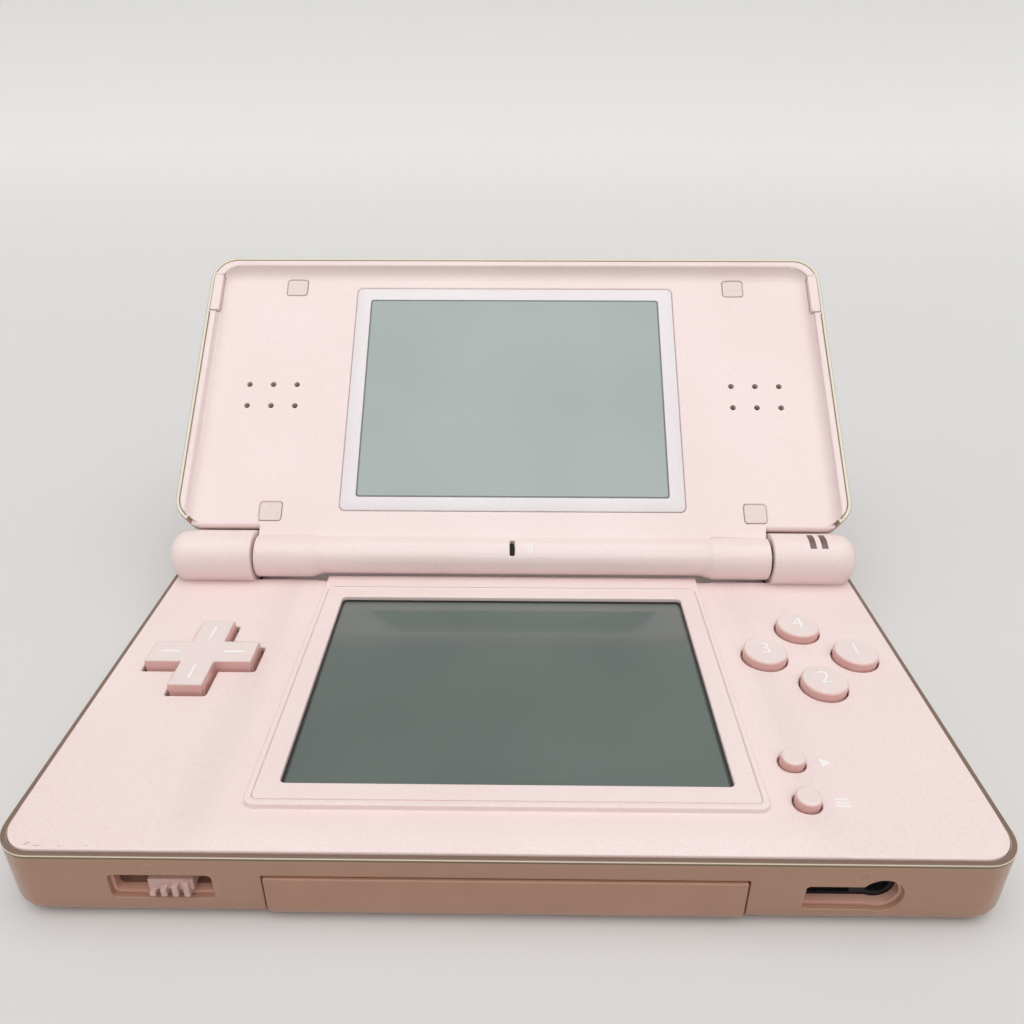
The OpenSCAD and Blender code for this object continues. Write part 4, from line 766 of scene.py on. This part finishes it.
# %% [markdown]
# Behind the microphone's slot a strip of black felt keeps the dust out, half a millimetre below
# the tube's face. In the front skin two faint rings show where the plastic ran into its mould.

# %% Felt and gate marks
felt = rounded_rectangle(0.9, 3.1, 0.44)
raised_outlines("microphone_felt", [felt], -0.75, -0.45, felt_black, "lid",
                tube_surface)


def on_front(points):
    """Points (x, z, height) laid on the front face of the clear skin."""
    x, z, height = points.T
    return np.stack([x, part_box("base_clear_cover")[0].y - height, z], -1)


GATE_R, GATE_HALF, GATE_MM = 0.9, 0.07, 0.02
NEARLY_ROUND = 2 * math.pi * 0.985
gates = [arc_band(GATE_R, GATE_HALF, 0, NEARLY_ROUND, centre, 48)
         for centre in ((-45.6, 9.6), (45.6, 9.7))]
raised_outlines("gate_marks", gates, -SUNK_MM, GATE_MM, pale_resin, "base", on_front)
print("felt and", len(gates), "gate marks")

# %% [markdown]
# The stage is a pale sweep, as in a photo studio: a floor that curves up into a wall, so that no
# horizon cuts the picture. Two soft boxes light the sides. The sweep gets paler towards its wall,
# but only for the rays that show it to the camera, straight or in a gloss, so that it looks even
# and throws no more light on the console.

# %% Stage and light
SWEEP_DEPTH, SWEEP_RADIUS, SWEEP_HALF, SWEEP_END = 1.2, 0.5, 3.0, 2.5  # metres
turn = np.linspace(0, math.pi / 2, 24)
profile = np.concatenate([
    [[-SWEEP_END, 0.0]],
    np.stack([SWEEP_DEPTH + SWEEP_RADIUS * np.sin(turn), SWEEP_RADIUS * (1 - np.cos(turn))], -1),
    [[SWEEP_DEPTH + SWEEP_RADIUS, SWEEP_END]]])
sweep = np.stack([np.stack([np.full(len(profile), x), profile[:, 0], profile[:, 1]], -1)
                  for x in (-SWEEP_HALF, SWEEP_HALF)])
floor = make_mesh("studio_sweep", sweep.reshape(-1, 3), grid_faces(2, len(profile))[:, ::-1], 60)
paper, tree, shader = new_material("matt studio paper", Base_Color=linear("#dcdad8"), Roughness=0.9,
                                   Specular_IOR_Level=0.2)
depth = add_node(tree, "ShaderNodeSeparateXYZ", inputs={
    0: add_node(tree, "ShaderNodeTexCoord").outputs["Object"]}).outputs["Y"]
lift = add_node(tree, "ShaderNodeMapRange", {"interpolation_type": "SMOOTHSTEP"}, {
    "Value": depth, "From Min": 0.1, "From Max": 1.3, "To Max": 0.14}).outputs[0]


def background_rays(tree):
    """1 for the rays that show the background: those from the camera, a gloss or clear glass."""
    path = add_node(tree, "ShaderNodeLightPath").outputs
    seen = path["Is Camera Ray"]
    for kind in ("Is Glossy Ray", "Is Transmission Ray"):
        seen = calculate(tree, "MAXIMUM", seen, path[kind])
    return seen


tree.links.new(calculate(tree, "MULTIPLY", lift, background_rays(tree)),
               shader.inputs["Emission Strength"])
shader.inputs["Emission Color"].default_value = linear("#f2f1f0")
floor.data.materials.append(paper)


def soft_box(name, place, target, size, watts):
    """A rectangular lamp at a place, turned to face its target."""
    lamp = bpy.data.lights.new(name, "AREA")
    lamp.shape, lamp.size, lamp.size_y, lamp.energy = "RECTANGLE", *size, watts
    holder = bpy.data.objects.new(name, lamp)
    holder.location = place
    holder.rotation_euler = (Vector(target) - Vector(place)).to_track_quat("-Z", "Y").to_euler()
    bpy.context.scene.collection.objects.link(holder)


soft_box("left soft box", (-0.75, -0.15, 0.45), (0, 0, 0.03), (0.4, 0.5), 0.38)
soft_box("right soft box", (0.8, 0.1, 0.5), (0, 0, 0.03), (0.4, 0.4), 0.26)
print("sweep of", 2 * SWEEP_HALF, "m and two soft boxes")

# %% [markdown]
# A hard-edged lamp would show as a hard-edged patch in the two windows. So the main light is a
# broad glow in the world above the console, which fades out smoothly with the angle from its
# middle. Away from the glow, the camera and every glossy or clear surface see a plain pale grey.

# %% World light
world = bpy.data.worlds.new("pale room")
world.use_nodes = True
tree = world.node_tree
GLOW_WAY = Vector((0.05, -0.29, 0.95)).normalized()
GLOW_STRENGTH, DIM_STRENGTH, ROOM_STRENGTH = 2.32, 0.2, 0.8
way = add_node(tree, "ShaderNodeTexCoord").outputs["Generated"]
nearness = add_node(tree, "ShaderNodeVectorMath", {"operation": "DOT_PRODUCT"},
                    {0: way, 1: GLOW_WAY}).outputs["Value"]
glow = add_node(tree, "ShaderNodeMapRange", {"interpolation_type": "SMOOTHERSTEP"}, {
    "Value": nearness, "From Min": 0.55, "From Max": 0.985,
    "To Min": DIM_STRENGTH, "To Max": GLOW_STRENGTH}).outputs[0]
room = calculate(tree, "MULTIPLY", background_rays(tree), ROOM_STRENGTH)
strength = calculate(tree, "MAXIMUM", glow, room)
background = tree.nodes["Background"]
background.inputs["Color"].default_value = linear("#f2f3f4")
tree.links.new(strength, background.inputs["Strength"])
bpy.context.scene.world = world
bpy.context.scene.view_settings.view_transform = "Standard"
print("glow from", [round(c, 2) for c in GLOW_WAY])

# %% [markdown]
# The last step brings the scene up to date.

# %% Finish
bpy.context.view_layer.update()
